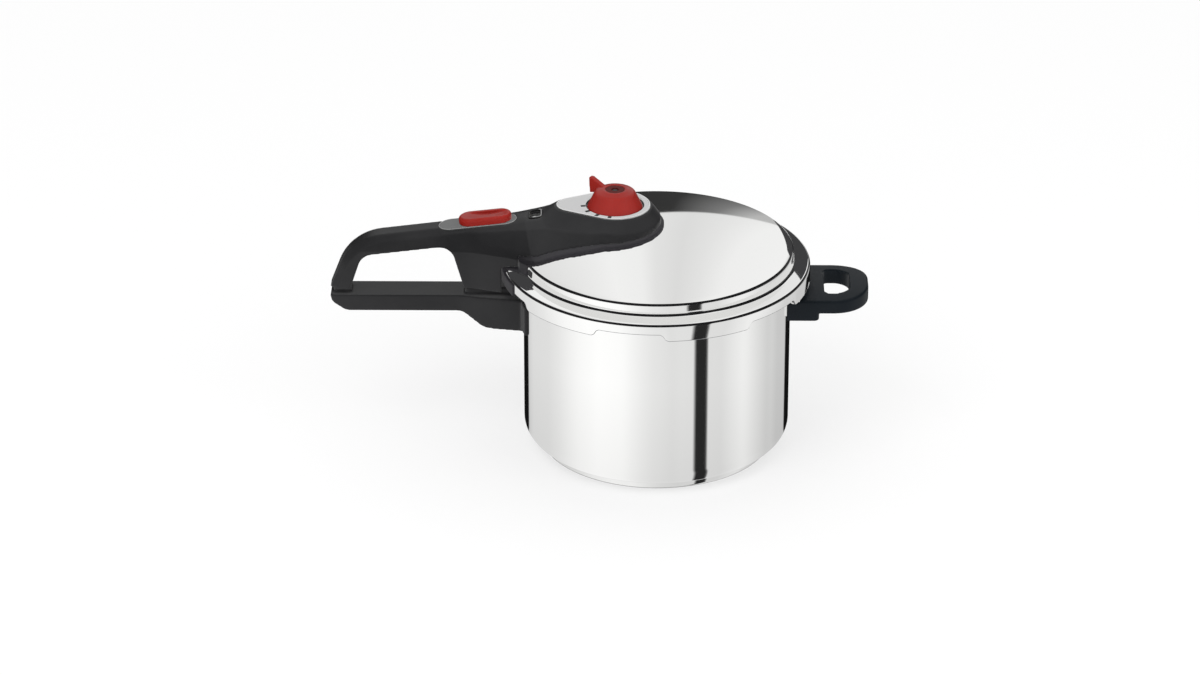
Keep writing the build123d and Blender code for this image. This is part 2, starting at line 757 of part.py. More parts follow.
with BuildPart() as lid_handle_shell:
    add(handle_flanks(0, lid_handle_bottom_z, arm_root_x - 2))
    add(handle_crown(0), mode=Mode.INTERSECT)
    add(handle_cavity.part, mode=Mode.SUBTRACT)
    # the crown's crest, which rises over the flanks to the deck
    with BuildPart(mode=Mode.PRIVATE) as nose:
        add(handle_crown(0))
        with BuildSketch(Plane.XY.offset(crease_top_z)):
            with Locations((indicator_x, 0)):
                Rectangle(30, 50)
        extrude(amount=plate_seat_z - crease_top_z, mode=Mode.INTERSECT)
    add(nose.part)
    # the boss, and the deck that carries the selector plate
    with BuildSketch(Plane.XY.offset(crease_top_z - 0.9)):
        with Locations((vent_x, 0)):
            Circle(boss_radius - 4.2)
    extrude(amount=3.4)
    with BuildPart(mode=Mode.PRIVATE) as deck:
        loft(
            [
                plate_outline(crease_top_z, boss_radius - 2.4, plate_nose_radius + deck_rim + deck_spread),
                plate_outline(plate_seat_z, plate_radius + deck_rim, plate_nose_radius + deck_rim),
            ],
            ruled=True,
        )
    add(deck.part)
    with BuildSketch(Plane.XY.offset(well_floor_z)):
        with Locations((vent_x, 0)):
            Circle(well_radius)
    extrude(amount=20, mode=Mode.SUBTRACT)
    with BuildSketch(Plane.XY.offset(well_floor_z - 8)):
        with Locations((vent_x, 0)):
            Circle(vent_radius + running_gap)
    extrude(amount=10, mode=Mode.SUBTRACT)
    add(loop_arm.part)
    # the finger opening
    extrude(
        outline(
            Plane.XZ,
            [
                (-257.9, loop_end_bottom_z - 10),
                (-244.4, 172.1),
                (-170.8, 181.2),
                (-156.6, loop_end_bottom_z - 10),
            ],
            [0, 13, 13, 0],
        ),
        amount=40,
        both=True,
        mode=Mode.SUBTRACT,
    )
    # the seat of the selector plate
    add(plate_outline(plate_seat_z - 0.4, plate_radius + shaft_gap, plate_nose_radius + shaft_gap))
    extrude(amount=5, mode=Mode.SUBTRACT)
    # the button's track, and the slot for its stem
    with BuildSketch(track_plane.offset(-track_depth)):
        SlotOverall(track_length, track_width)
    extrude(amount=8, mode=Mode.SUBTRACT)
    with BuildSketch(Plane.XY.offset(185)):
        with Locations((slot_x, 0)):
            Rectangle(slot_length, stem_width + 2 * running_gap)
    extrude(amount=20, mode=Mode.SUBTRACT)
    # the indicator's window and the seat of its frame
    with BuildSketch(window_plane.offset(-10)):
        RectangleRounded(window_length, window_width, 3)
    extrude(amount=20, mode=Mode.SUBTRACT)
    with BuildSketch(window_plane.offset(-1)):
        RectangleRounded(window_length + 2 * window_frame_rim, window_width + 2 * window_frame_rim, 4)
    extrude(amount=10, mode=Mode.SUBTRACT)
    # posts for the underplate's screws
    for x, y in underplate_screw_places:
        post_top_z = crease_top_z - 0.5
        with BuildSketch(Plane.XY.offset(dome_z(math.hypot(x, y)))):
            with Locations((x, y)):
                Circle(screw_post_radius)
        extrude(amount=post_top_z - dome_z(math.hypot(x, y)))
        with BuildSketch(Plane.XY.offset(dome_z(math.hypot(x, y)))):
            with Locations((x, y)):
                Circle(underplate_screw_radius)
        extrude(amount=post_top_z - 0.8 - dome_z(math.hypot(x, y)), mode=Mode.SUBTRACT)
    # room for the lid, and for the bolt
    add(shell_clearance.part, mode=Mode.SUBTRACT)
    with BuildSketch(Plane.XY.offset(bolt_z - 1)):
        with Locations((-wing_radius - 4, bolt_y)):
            Rectangle(20, bolt_width + 2)
    extrude(amount=bolt_thickness + 2, mode=Mode.SUBTRACT)
lid_handle_shell.part.label = "lid_handle_shell"
export_step(lid_handle_shell.part, "parts/lid_handle_shell.step")

# Handle underplate: a dark moulding that follows the dome, the wall and the flange, and closes the shell
# from below. Its two wings run round the outside of the skirt.
with BuildPart() as handle_underplate:
    with BuildSketch(Plane.XY.offset(lip_z - 4)):
        with BuildLine():
            side = Spline(
                (-wing_radius - 1.1, -25), (-114, -32.5), (-101, -44.5), (-84, -43.8), (-60, -43.2), (-43, -41.3)
            )
            nose = ThreePointArc(side @ 1, (vent_x + boss_radius + 0.4, 0), (-43, 41.3))
            mirror(side, about=Plane.XZ)
            Line((-wing_radius - 1.1, -25), (-wing_radius - 1.1, 25))
        make_face()
    extrude(amount=60)
    add(shell_clearance.part, mode=Mode.INTERSECT)
    add(lid_clearance.part, mode=Mode.SUBTRACT)
    wing_low_z = 154.0
    wing = ring_sector(wing_low_z, skirt_radius + running_gap, wing_radius, 180, wing_angle)
    extrude(wing, amount=flange_outer_z - wing_low_z + 0.8)
    with BuildSketch(Plane.XY.offset(lip_z - 10)):
        with Locations((-wing_radius, 0)):
            Rectangle(12, 2 * skirt_radius)
    extrude(amount=wing_low_z - lip_z + 10, mode=Mode.SUBTRACT)
    with BuildSketch(Plane.XY.offset(lip_z)):
        with Locations((vent_x, 0)):
            Circle(vent_radius + shaft_gap)
        with Locations((indicator_x, 0)):
            Circle(indicator_bush_radius + shaft_gap)
        with Locations((safety_x, safety_y)):
            Circle(safety_radius + shaft_gap)
        with Locations(*underplate_screw_places):
            Circle(underplate_screw_radius + shaft_gap)
    extrude(amount=60, mode=Mode.SUBTRACT)
    for x, y in underplate_screw_places:
        head_z = dome_z(math.hypot(x, y) - screw_post_radius) + 2.4
        with BuildSketch(Plane.XY.offset(head_z - 10)):
            with Locations((x, y)):
                Circle(2.4 * underplate_screw_radius)
        extrude(amount=10, mode=Mode.SUBTRACT)
    with BuildSketch(Plane.XY.offset(bolt_z - 1)):
        with Locations((-wing_radius, bolt_y)):
            Rectangle(8, bolt_width + 2)
    extrude(amount=bolt_thickness + 2, mode=Mode.SUBTRACT)
handle_underplate.part.label = "handle_underplate"
export_step(handle_underplate.part, "parts/handle_underplate.step")

with BuildPart() as underplate_screws:
    for x, y in underplate_screw_places:
        head_z = dome_z(math.hypot(x, y) - screw_post_radius) + 2.4
        with BuildSketch(Plane.XY.offset(head_z - 1.8)):
            with Locations((x, y)):
                Circle(2.2 * underplate_screw_radius)
        extrude(amount=1.8)
        with BuildSketch(Plane.XY.offset(head_z)):
            with Locations((x, y)):
                Circle(underplate_screw_radius)
        extrude(amount=5.5)
        with BuildSketch(Plane.XY.offset(head_z - 1.8)):
            with Locations((x, y)):
                Rectangle(4, 0.8)
                Rectangle(0.8, 4)
        extrude(amount=0.9, mode=Mode.SUBTRACT)
underplate_screws.part.label = "underplate_screws"
export_step(underplate_screws.part, "parts/underplate_screws.step")

# Selector plate: a thin egg-shaped plate on the deck, with a round opening for the knob.
with BuildPart() as selector_plate:
    with BuildSketch(Plane.XY.offset(plate_seat_z - 0.4)):
        add(plate_outline(0, plate_radius, plate_nose_radius))
        with Locations((vent_x, 0)):
            Circle(well_radius, mode=Mode.SUBTRACT)
    extrude(amount=plate_sheet)
selector_plate.part.label = "selector_plate"
export_step(selector_plate.part, "parts/selector_plate.step")

# Window frame: a thin moulded rim round the indicator's window.
with BuildPart() as window_frame:
    with BuildSketch(window_plane.offset(-1)):
        RectangleRounded(
            window_length + 2 * window_frame_rim - 2 * shaft_gap,
            window_width + 2 * window_frame_rim - 2 * shaft_gap,
            4 - shaft_gap,
        )
        RectangleRounded(window_length, window_width, 3, mode=Mode.SUBTRACT)
    extrude(amount=1.3)
window_frame.part.label = "window_frame"
export_step(window_frame.part, "parts/window_frame.step")

# Button guide: a pale strip in the track, which the button slides over.
with BuildPart() as button_guide:
    with BuildSketch(track_plane.offset(-track_depth)):
        SlotOverall(track_length - 2 * shaft_gap, track_width - 2 * shaft_gap)
    extrude(amount=guide_sheet)
    with BuildSketch(Plane.XY.offset(185)):
        with Locations((slot_x, 0)):
            Rectangle(slot_length, stem_width + 2 * running_gap)
    extrude(amount=20, mode=Mode.SUBTRACT)
button_guide.part.label = "button_guide"
export_step(button_guide.part, "parts/button_guide.step")

# ============================================================ opening button and lock
button_plane = track_plane.offset(-track_depth + guide_sheet + running_gap)
button_height = 6.2
stem_low_z = slide_top_z
with BuildPart() as opening_button:
    with BuildSketch(button_plane):
        with Locations(((button_x - track_x) / math.cos(math.radians(track_slope)), 0)):
            SlotOverall(button_length, button_width)
    extrude(amount=button_height)
    top_edges = opening_button.faces().sort_by(Axis.Z)[-1].edges()
    fillet(top_edges, 2.6)
    with BuildSketch(Plane.XZ):
        with Locations((button_x - 3, track_z + 53.6)):
            Circle(50)
    extrude(amount=5, both=True, mode=Mode.SUBTRACT)
    with BuildSketch(Plane.XY.offset(stem_low_z)):
        with Locations((stem_x, 0)):
            Rectangle(stem_length, stem_width)
    extrude(until=Until.NEXT)
    with BuildSketch(Plane.XY.offset(stem_low_z - 1)):
        with Locations((stem_x, 0)):
            Circle(1.3)
    extrude(amount=8, mode=Mode.SUBTRACT)
opening_button.part.label = "opening_button"
export_step(opening_button.part, "parts/opening_button.step")

# Lock slide: a bent steel strip under the button, whose bolt reaches through the skirt beside a rim lug.
with BuildPart() as lock_slide:
    with BuildSketch(Plane.XY.offset(slide_top_z - slide_sheet)):
        with Locations((-143.0, 0)):
            Rectangle(15, 15)
        with Locations((stem_x, 0)):
            Circle(1.35, mode=Mode.SUBTRACT)
    extrude(amount=slide_sheet)
    with BuildSketch(Plane.XY.offset(bolt_z)):
        with Locations((slide_leg_x + slide_sheet / 2, -1.0)):
            Rectangle(slide_sheet, 15)
    extrude(amount=slide_top_z - bolt_z)
    with BuildSketch(Plane.XY.offset(bolt_z)):
        bolt_length = bolt_tip_x - slide_leg_x
        with Locations((bolt_tip_x - bolt_length / 2, bolt_y)):
            Rectangle(bolt_length, bolt_width)
    extrude(amount=bolt_thickness)
lock_slide.part.label = "lock_slide"
export_step(lock_slide.part, "parts/lock_slide.step")

with BuildPart() as button_screw:
    with BuildSketch(Plane.XY.offset(slide_top_z - slide_sheet - 2)):
        with Locations((stem_x, 0)):
            Circle(3.2)
    extrude(amount=2)
    with BuildSketch(Plane.XY.offset(slide_top_z - slide_sheet)):
        with Locations((stem_x, 0)):
            Circle(1.25)
    extrude(amount=8)
button_screw.part.label = "button_screw"
export_step(button_screw.part, "parts/button_screw.step")


def coil_spring(centre, direction, radius, wire_radius, length, turns):
    """Open coil spring: a round wire swept along a helix."""
    with BuildPart() as spring:
        with BuildLine() as path:
            Helix(pitch=length / turns, height=length, radius=radius, center=centre, direction=direction)
        with BuildSketch(Plane(origin=path.line @ 0, z_dir=path.line % 0)):
            Circle(wire_radius)
        sweep(path=path.line, is_frenet=True)
    return spring.part


# Button spring: pushes the slide back towards the pot, from the hollow's end wall.
spring_wire = 0.4
button_spring_radius = 3.6
button_spring_z = 168.0
with BuildPart() as button_spring:
    spring_start_x = cavity_end_x + running_gap + spring_wire
    add(
        coil_spring(
            (spring_start_x, 0, button_spring_z),
            (1, 0, 0),
            button_spring_radius,
            spring_wire,
            slide_leg_x - running_gap - spring_wire - spring_start_x,
            7,
        )
    )
button_spring.part.label = "button_spring"
export_step(button_spring.part, "parts/button_spring.step")

# ============================================================ vent and selector
vent_flange_top_z = dome_z(abs(vent_x) + 9) - lid_sheet - 0.7
with BuildPart() as vent_tube:
    revolve(
        outline(
            Plane.XZ,
            [
                (vent_x + vent_bore_radius, vent_flange_top_z - 4),
                (vent_x + 9, vent_flange_top_z - 4),
                (vent_x + 9, vent_flange_top_z),
                (vent_x + vent_radius, vent_flange_top_z),
                (vent_x + vent_radius, vent_top_z),
                (vent_x + vent_bore_radius, vent_top_z),
            ],
            [0.5, 1, 0.5, 0, 0.8, 0],
        ),
        upright(vent_x),
    )
vent_tube.part.label = "vent_tube"
export_step(vent_tube.part, "parts/vent_tube.step")

with BuildPart() as vent_seal:
    revolve(tube_profile(vent_x, vent_radius, 8.5, vent_flange_top_z, vent_flange_top_z + 0.6), upright(vent_x))
vent_seal.part.label = "vent_seal"
export_step(vent_seal.part, "parts/vent_seal.step")

vent_nut_z = dome_z(abs(vent_x) - 9) + underplate_height + 0.1
with BuildPart() as vent_nut:
    with BuildSketch(Plane.XY.offset(vent_nut_z)):
        with Locations((vent_x, 0)):
            RegularPolygon(7, 6, major_radius=False)
            Circle(vent_radius, mode=Mode.SUBTRACT)
    extrude(amount=well_floor_z - 2.5 - running_gap - vent_nut_z)
vent_nut.part.label = "vent_nut"
export_step(vent_nut.part, "parts/vent_nut.step")

# Selector knob: a red cone with a pointer fin and a wide steam hole, hollow underneath.
core_outer_radius = 9.0
core_top_z = 218.5
knob_low_z = well_floor_z + 3
with BuildPart() as selector_knob:
    revolve(
        outline(
            Plane.XZ,
            [
                (vent_x + core_outer_radius + 0.05, knob_low_z),
                (vent_x + 13, knob_low_z),
                (vent_x + 13, 217),
                (vent_x + 18, 217),
                (vent_x + 19.5, knob_low_z),
                (vent_x + knob_radius, knob_low_z),
                (vent_x + knob_radius, 212.5),
                (vent_x + 16.4, knob_top_z - 2.1),
                (vent_x + 10, knob_top_z),
                (vent_x + knob_hole_radius, knob_top_z),
                (vent_x + knob_hole_radius, core_top_z + 0.05),
                (vent_x + core_outer_radius + 0.05, core_top_z + 0.05),
            ],
            [0, 0, 1, 1, 0, 0.5, 5, 4, 2, 0.6, 0, 0],
        ),
        upright(vent_x),
    )
    fin_plane = Plane(
        origin=(vent_x, 0, 0),
        x_dir=(math.cos(math.radians(fin_angle)), math.sin(math.radians(fin_angle)), 0),
        z_dir=(math.sin(math.radians(fin_angle)), -math.cos(math.radians(fin_angle)), 0),
    )
    extrude(
        outline(
            fin_plane,
            [(11, 224), (17.5, 221.5), (23.4, 220), (24.3, 234.2), (21.5, 233.8), (10, knob_top_z - 0.1)],
            [0, 0, 0.6, 1.2, 3, 0],
        ),
        amount=fin_width / 2,
        both=True,
    )
selector_knob.part.label = "selector_knob"
export_step(selector_knob.part, "parts/selector_knob.step")

# Selector core: the sleeve in the knob that turns on the vent tube.
with BuildPart() as selector_core:
    revolve(
        tube_profile(vent_x, vent_radius + shaft_gap, core_outer_radius, well_floor_z + running_gap, core_top_z),
        upright(vent_x),
    )
selector_core.part.label = "selector_core"
export_step(selector_core.part, "parts/selector_core.step")

# Regulator: a weight on the vent's mouth, held down by a spring under a ring in the knob's hole.
needle_low_z = vent_top_z + 0.2
cap_low_z = 226.0
needle_body_top_z = needle_low_z + 1.6
with BuildPart() as regulator_needle:
    revolve(
        outline(
            Plane.XZ,
            [
                (vent_x, needle_low_z),
                (vent_x + 6.5, needle_low_z),
                (vent_x + 6.5, needle_body_top_z),
                (vent_x + 2.4, needle_body_top_z),
                (vent_x + 2.4, cap_low_z + 1),
                (vent_x, cap_low_z + 1),
            ],
            [0, 0.4, 0.4, 0, 0.8, 0],
        ),
        upright(vent_x),
    )
regulator_needle.part.label = "regulator_needle"
export_step(regulator_needle.part, "parts/regulator_needle.step")

with BuildPart() as regulator_cap:
    revolve(tube_profile(vent_x, 3.2, knob_hole_radius, cap_low_z, cap_low_z + 1.5), upright(vent_x))
regulator_cap.part.label = "regulator_cap"
export_step(regulator_cap.part, "parts/regulator_cap.step")

with BuildPart() as regulator_spring:
    add(
        coil_spring(
            (vent_x, 0, needle_body_top_z + 0.1 + spring_wire),
            (0, 0, 1),
            4.2,
            spring_wire,
            cap_low_z - needle_body_top_z - 2 * (0.1 + spring_wire),
            3,
        )
    )
regulator_spring.part.label = "regulator_spring"
export_step(regulator_spring.part, "parts/regulator_spring.step")

# ============================================================ pressure indicator
bush_flange_radius = 6.5
bush_flange_top_z = dome_z(abs(indicator_x) + bush_flange_radius) - lid_sheet - 0.3
indicator_nut_z = dome_z(abs(indicator_x) - 7) + underplate_height + 0.1
bush_top_z = indicator_nut_z + 3.6
with BuildPart() as indicator_bush:
    revolve(
        outline(
            Plane.XZ,
            [
                (indicator_x + indicator_pin_radius + shaft_gap, bush_flange_top_z - 1.7),
                (indicator_x + bush_flange_radius, bush_flange_top_z - 1.7),
                (indicator_x + bush_flange_radius, bush_flange_top_z),
                (indicator_x + indicator_bush_radius, bush_flange_top_z),
                (indicator_x + indicator_bush_radius, bush_top_z),
                (indicator_x + indicator_pin_radius + shaft_gap, bush_top_z),
            ],
            [0, 0.5, 0.3, 0, 0.5, 0],
        ),
        upright(indicator_x),
    )
indicator_bush.part.label = "indicator_bush"
export_step(indicator_bush.part, "parts/indicator_bush.step")

with BuildPart() as indicator_nut:
    with BuildSketch(Plane.XY.offset(indicator_nut_z)):
        with Locations((indicator_x, 0)):
            RegularPolygon(6, 6, major_radius=False)
            Circle(indicator_bush_radius, mode=Mode.SUBTRACT)
    extrude(amount=3)
indicator_nut.part.label = "indicator_nut"
export_step(indicator_nut.part, "parts/indicator_nut.step")

# Indicator pin: rises through its bush when there is pressure, and shows in the window.
seal_ring_height = 0.9
collar_top_z = bush_flange_top_z - 1.7 - indicator_rise - running_gap - seal_ring_height
with BuildPart() as indicator_pin:
    revolve(
        outline(
            Plane.XZ,
            [
                (indicator_x, collar_top_z - 1.1),
                (indicator_x + 3.4, collar_top_z - 1.1),
                (indicator_x + 3.4, collar_top_z),
                (indicator_x + indicator_pin_radius, collar_top_z),
                (indicator_x + indicator_pin_radius, bush_top_z + 0.2),
                (indicator_x + 3.2, bush_top_z + 0.2),
                (indicator_x + 3.2, 202.0),
                (indicator_x, 202.0),
            ],
            [0, 0.4, 0, 0, 0, 0.3, 1.2, 0],
        ),
        upright(indicator_x),
    )
indicator_pin.part.label = "indicator_pin"
export_step(indicator_pin.part, "parts/indicator_pin.step")

with BuildPart() as indicator_seal:
    revolve(
        tube_profile(indicator_x, indicator_pin_radius, 3.3, collar_top_z, collar_top_z + seal_ring_height),
        upright(indicator_x),
    )
indicator_seal.part.label = "indicator_seal"
export_step(indicator_seal.part, "parts/indicator_seal.step")

# ============================================================ safety valve
safety_reach = math.hypot(safety_x, safety_y)
safety_flange_radius = 8.0
safety_flange_top_z = dome_z(safety_reach + safety_flange_radius) - lid_sheet - 0.2
safety_nut_z = dome_z(safety_reach - 9.3) + underplate_height + 0.1
safety_top_z = safety_nut_z + 5
chamber_radius = 4.3
chamber_low_z = safety_flange_top_z + 2
safety_plane = Plane(origin=(0, safety_y, 0), x_dir=(1, 0, 0), z_dir=(0, -1, 0))
with BuildPart() as safety_valve_body:
    revolve(
        outline(
            safety_plane,
            [
                (safety_x + 2, safety_flange_top_z - 2.6),
                (safety_x + safety_flange_radius, safety_flange_top_z - 2.6),
                (safety_x + safety_flange_radius, safety_flange_top_z),
                (safety_x + safety_radius, safety_flange_top_z),
                (safety_x + safety_radius, safety_top_z),
                (safety_x + chamber_radius, safety_top_z),
                (safety_x + chamber_radius, chamber_low_z),
                (safety_x + 2, chamber_low_z),
            ],
            [0, 0.6, 0.4, 0, 0.4, 0, 0, 0],
        ),
        upright(safety_x, safety_y),
    )
safety_valve_body.part.label = "safety_valve_body"
export_step(safety_valve_body.part, "parts/safety_valve_body.step")

with BuildPart() as safety_valve_nut:
    with BuildSketch(Plane.XY.offset(safety_nut_z)):
        with Locations((safety_x, safety_y)):
            RegularPolygon(8, 6, major_radius=False)
            Circle(safety_radius, mode=Mode.SUBTRACT)
    extrude(amount=3.2)
safety_valve_nut.part.label = "safety_valve_nut"
export_step(safety_valve_nut.part, "parts/safety_valve_nut.step")

with BuildPart() as safety_plunger:
    plunger_low_z = chamber_low_z + 0.1
    revolve(
        outline(
            safety_plane,
            [
                (safety_x, plunger_low_z),
                (safety_x + chamber_radius - shaft_gap, plunger_low_z),
                (safety_x + chamber_radius - shaft_gap, plunger_low_z + 2.4),
                (safety_x + 1.4, plunger_low_z + 2.4),
                (safety_x + 1.4, plunger_low_z + 5),
                (safety_x, plunger_low_z + 5),
            ],
            [0, 0.4, 0.4, 0, 0.5, 0],
        ),
        upright(safety_x, safety_y),
    )
safety_plunger.part.label = "safety_plunger"
export_step(safety_plunger.part, "parts/safety_plunger.step")

safety_cap_z = safety_top_z - 1.6
with BuildPart() as safety_cap:
    revolve(
        outline(
            safety_plane,
            [
                (safety_x + 1.8, safety_cap_z),
                (safety_x + chamber_radius, safety_cap_z),
                (safety_x + chamber_radius, safety_top_z),
                (safety_x + 1.8, safety_top_z),
            ],
            0,
        ),
        upright(safety_x, safety_y),
    )
safety_cap.part.label = "safety_cap"
export_step(safety_cap.part, "parts/safety_cap.step")

with BuildPart() as safety_spring:
    safety_spring_low_z = plunger_low_z + 2.4 + 0.1 + spring_wire
    add(
        coil_spring(
            (safety_x, safety_y, safety_spring_low_z),
            (0, 0, 1),
            3.0,
            spring_wire,
            safety_cap_z - 0.1 - spring_wire - safety_spring_low_z,
            6,
        )
    )
safety_spring.part.label = "safety_spring"
export_step(safety_spring.part, "parts/safety_spring.step")
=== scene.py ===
import math

import bmesh
import bpy
import numpy as np
from mathutils import Matrix, Vector


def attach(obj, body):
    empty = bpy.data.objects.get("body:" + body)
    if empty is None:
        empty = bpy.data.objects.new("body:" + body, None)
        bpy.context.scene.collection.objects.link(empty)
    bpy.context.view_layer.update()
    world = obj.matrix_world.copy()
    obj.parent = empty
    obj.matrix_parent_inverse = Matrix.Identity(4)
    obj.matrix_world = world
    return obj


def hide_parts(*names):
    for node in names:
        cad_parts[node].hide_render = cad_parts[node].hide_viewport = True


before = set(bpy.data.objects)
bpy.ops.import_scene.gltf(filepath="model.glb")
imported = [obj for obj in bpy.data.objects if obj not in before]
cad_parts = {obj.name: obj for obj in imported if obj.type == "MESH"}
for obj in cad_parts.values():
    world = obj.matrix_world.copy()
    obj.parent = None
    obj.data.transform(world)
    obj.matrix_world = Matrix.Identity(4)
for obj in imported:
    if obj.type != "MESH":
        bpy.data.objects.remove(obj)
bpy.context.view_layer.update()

# ---------------------------------------------------------------- studio
# A pale table, a soft white room and a long lens. Mirrored rays see one white panel, the dark room beside
# it and a few narrow dark gaps, as in a product studio; all other light is plain. Lengths are in metres.
LENS, SENSOR, DISTANCE = 135, 36, 3.7645
TURN, TILT = math.radians(0.5), math.radians(25.88)
WHITE, STEEL_WHITE = (1, 1, 1, 1), 0.93
turned_view = Matrix.Rotation(TURN, 3, "Z")
aim = turned_view @ Vector((-0.04735, 0, 0.09208))


def placed(name, data):
    """New object in the scene, at the origin."""
    thing = bpy.data.objects.new(name, data)
    bpy.context.scene.collection.objects.link(thing)
    return thing


camera_data = bpy.data.cameras.new("camera")
camera_data.lens = LENS
camera_data.sensor_width = SENSOR
camera_data.clip_end = 20
camera = placed("camera", camera_data)
camera.rotation_euler = (math.pi / 2 - TILT, 0, TURN)
camera.location = aim + turned_view @ Vector((0, -math.cos(TILT), math.sin(TILT))) * DISTANCE
bpy.context.scene.camera = camera
bpy.context.scene.view_settings.view_transform = "Standard"


class Nodes:
    """A node tree with short calls for adding and joining its nodes."""

    def __init__(self, tree):
        self.tree = tree
        tree.nodes.clear()

    def add(self, kind, **settings):
        node = self.tree.nodes.new(kind)
        inputs = settings.pop("inputs", {})
        for key, value in settings.items():
            setattr(node, key, value)
        for key, value in inputs.items():
            if isinstance(value, bpy.types.NodeSocket):
                self.tree.links.new(value, node.inputs[key])
            else:
                node.inputs[key].default_value = value
        return node

    def math(self, operation, a, b=0.0, c=0.0):
        return self.add("ShaderNodeMath", operation=operation, inputs={0: a, 1: b, 2: c}).outputs[0]

    def product(self, first, *others):
        for other in others:
            first = self.math("MULTIPLY", first, other)
        return first

    def between(self, value, low, high):
        """1 where a value lies between two others, 0 elsewhere."""
        return self.product(self.math("GREATER_THAN", value, low), self.math("LESS_THAN", value, high))

    def step(self, value, softness):
        """0 below zero and 1 above it, with a soft change of this half width."""
        return self.add(
            "ShaderNodeMapRange", interpolation_type="SMOOTHSTEP",
            inputs={"Value": value, "From Min": -softness, "From Max": softness},
        ).outputs[0]

    def vector(self, operation, a, b=(0, 0, 0)):
        return self.add("ShaderNodeVectorMath", operation=operation, inputs={0: a, 1: b}).outputs[0]

    def scaled(self, vector, factor):
        inputs = {0: vector, "Scale": factor}
        return self.add("ShaderNodeVectorMath", operation="SCALE", inputs=inputs).outputs[0]

    def length(self, vector):
        return self.add("ShaderNodeVectorMath", operation="LENGTH", inputs={0: vector}).outputs["Value"]

    def parts(self, vector):
        return self.add("ShaderNodeSeparateXYZ", inputs={0: vector}).outputs

    def joined(self, x=0.0, y=0.0, z=0.0):
        return self.add("ShaderNodeCombineXYZ", inputs={0: x, 1: y, 2: z}).outputs[0]

    def ramp(self, factor, stops, mode="LINEAR"):
        node = self.add("ShaderNodeValToRGB", inputs={"Fac": factor})
        node.color_ramp.interpolation = mode
        elements = node.color_ramp.elements
        while len(elements) < len(stops):
            elements.new(0.5)
        for element, (place, value) in zip(elements, stops):
            element.position = place
            element.color = (value, value, value, 1) if isinstance(value, float) else (*value, 1)
        return node.outputs["Color"]

    def tone(self, factor, stops):
        """Ramp whose stops are tones from 0 to 255, as they show on steel that mirrors 93 % of the light."""
        linear = [(place, ((tone / 255 + 0.055) / 1.055) ** 2.4) for place, tone in stops]
        return self.ramp(factor, [(place, value / STEEL_WHITE) for place, value in linear])

    def blend(self, factor, first, second, how="MIX"):
        """Colour between two others."""
        return self.add(
            "ShaderNodeMix", data_type="RGBA", blend_type=how, inputs={0: factor, 6: first, 7: second}
        ).outputs[2]

    def light(self, kind, colour, strength=1.0):
        return self.add(kind, inputs={"Color": colour, "Strength": strength}).outputs[0]

    def mix(self, factor, first, second):
        """Shader between two others."""
        return self.add("ShaderNodeMixShader", inputs={0: factor, 1: first, 2: second}).outputs[0]


# One large white panel hangs behind and over the object. It starts higher in the middle than at its sides,
# widens upwards and ends overhead; the wall under it is dark, and paler on the helper side.
PANEL_FOOT, PANEL_SLANT = 0.257, 0.65
PANEL_LEAN, PANEL_HALF_WIDTH, PANEL_WIDENING = 0.09, 0.235, 0.236
WALL_TOP = 0.33
PANEL_TONES = [
    (0.2, 222), (0.38, 240), (0.46, 237), (0.50, 225), (0.565, 218), (0.63, 226), (0.70, 238), (0.82, 240),
]
WALL_TONES = [(0.1, 50), (0.45, 46), (0.53, 52), (0.60, 120), (0.65, 180), (0.75, 185), (0.95, 60)]
DARK_ROOM, SECOND_MIRROR = (0.012, 0.012, 0.013, 1), (0.8, 0.8, 0.8, 1)


def panel_edges(nodes, direction):
    """Parts of a direction, and how far it lies inside the panel's front edge and inside its sides."""
    side, depth, height = nodes.parts(direction)
    front = nodes.math("MULTIPLY_ADD", height, PANEL_LEAN, depth)
    room_beside = nodes.math("SUBTRACT", PANEL_HALF_WIDTH, nodes.math("ABSOLUTE", side))
    return side, depth, height, front, nodes.math("MULTIPLY_ADD", height, PANEL_WIDENING, room_beside)


world = bpy.data.worlds.new("studio")
bpy.context.scene.world = world
world.use_nodes = True
sky = Nodes(world.node_tree)
side, depth, height, front, sides = panel_edges(sky, sky.add("ShaderNodeTexCoord").outputs["Generated"])
above = sky.math("SUBTRACT", height, PANEL_FOOT)
above = sky.math("MULTIPLY_ADD", sky.math("ABSOLUTE", side), PANEL_SLANT, above)
panel = sky.product(sky.step(above, 0.012), sky.step(front, 0.02), sky.step(sides, 0.02))
low_behind = sky.product(sky.step(depth, 0.1), sky.step(sky.math("SUBTRACT", WALL_TOP, height), 0.05))
across = sky.math("ADD", side, 0.5)
wall = sky.blend(low_behind, DARK_ROOM, sky.tone(across, WALL_TONES))
room = sky.blend(panel, wall, sky.tone(across, PANEL_TONES))
rays = sky.add("ShaderNodeLightPath").outputs
room = sky.blend(sky.math("GREATER_THAN", rays["Glossy Depth"], 1.5), room, SECOND_MIRROR)
from_front = sky.math("MAXIMUM", sky.math("MULTIPLY", depth, -1.0), 0.0)
from_front = sky.math("MULTIPLY", from_front, sky.math("SUBTRACT", 1.0, height))
plain = sky.light("ShaderNodeBackground", WHITE, sky.math("MULTIPLY_ADD", from_front, 0.9, 0.86))
lighting = sky.mix(rays["Is Glossy Ray"], plain, sky.light("ShaderNodeBackground", room))
clear = sky.math("MAXIMUM", rays["Is Camera Ray"], rays["Is Transmission Ray"])
backdrop = sky.mix(clear, lighting, sky.light("ShaderNodeBackground", WHITE))
sky.add("ShaderNodeOutputWorld", inputs={"Surface": backdrop})

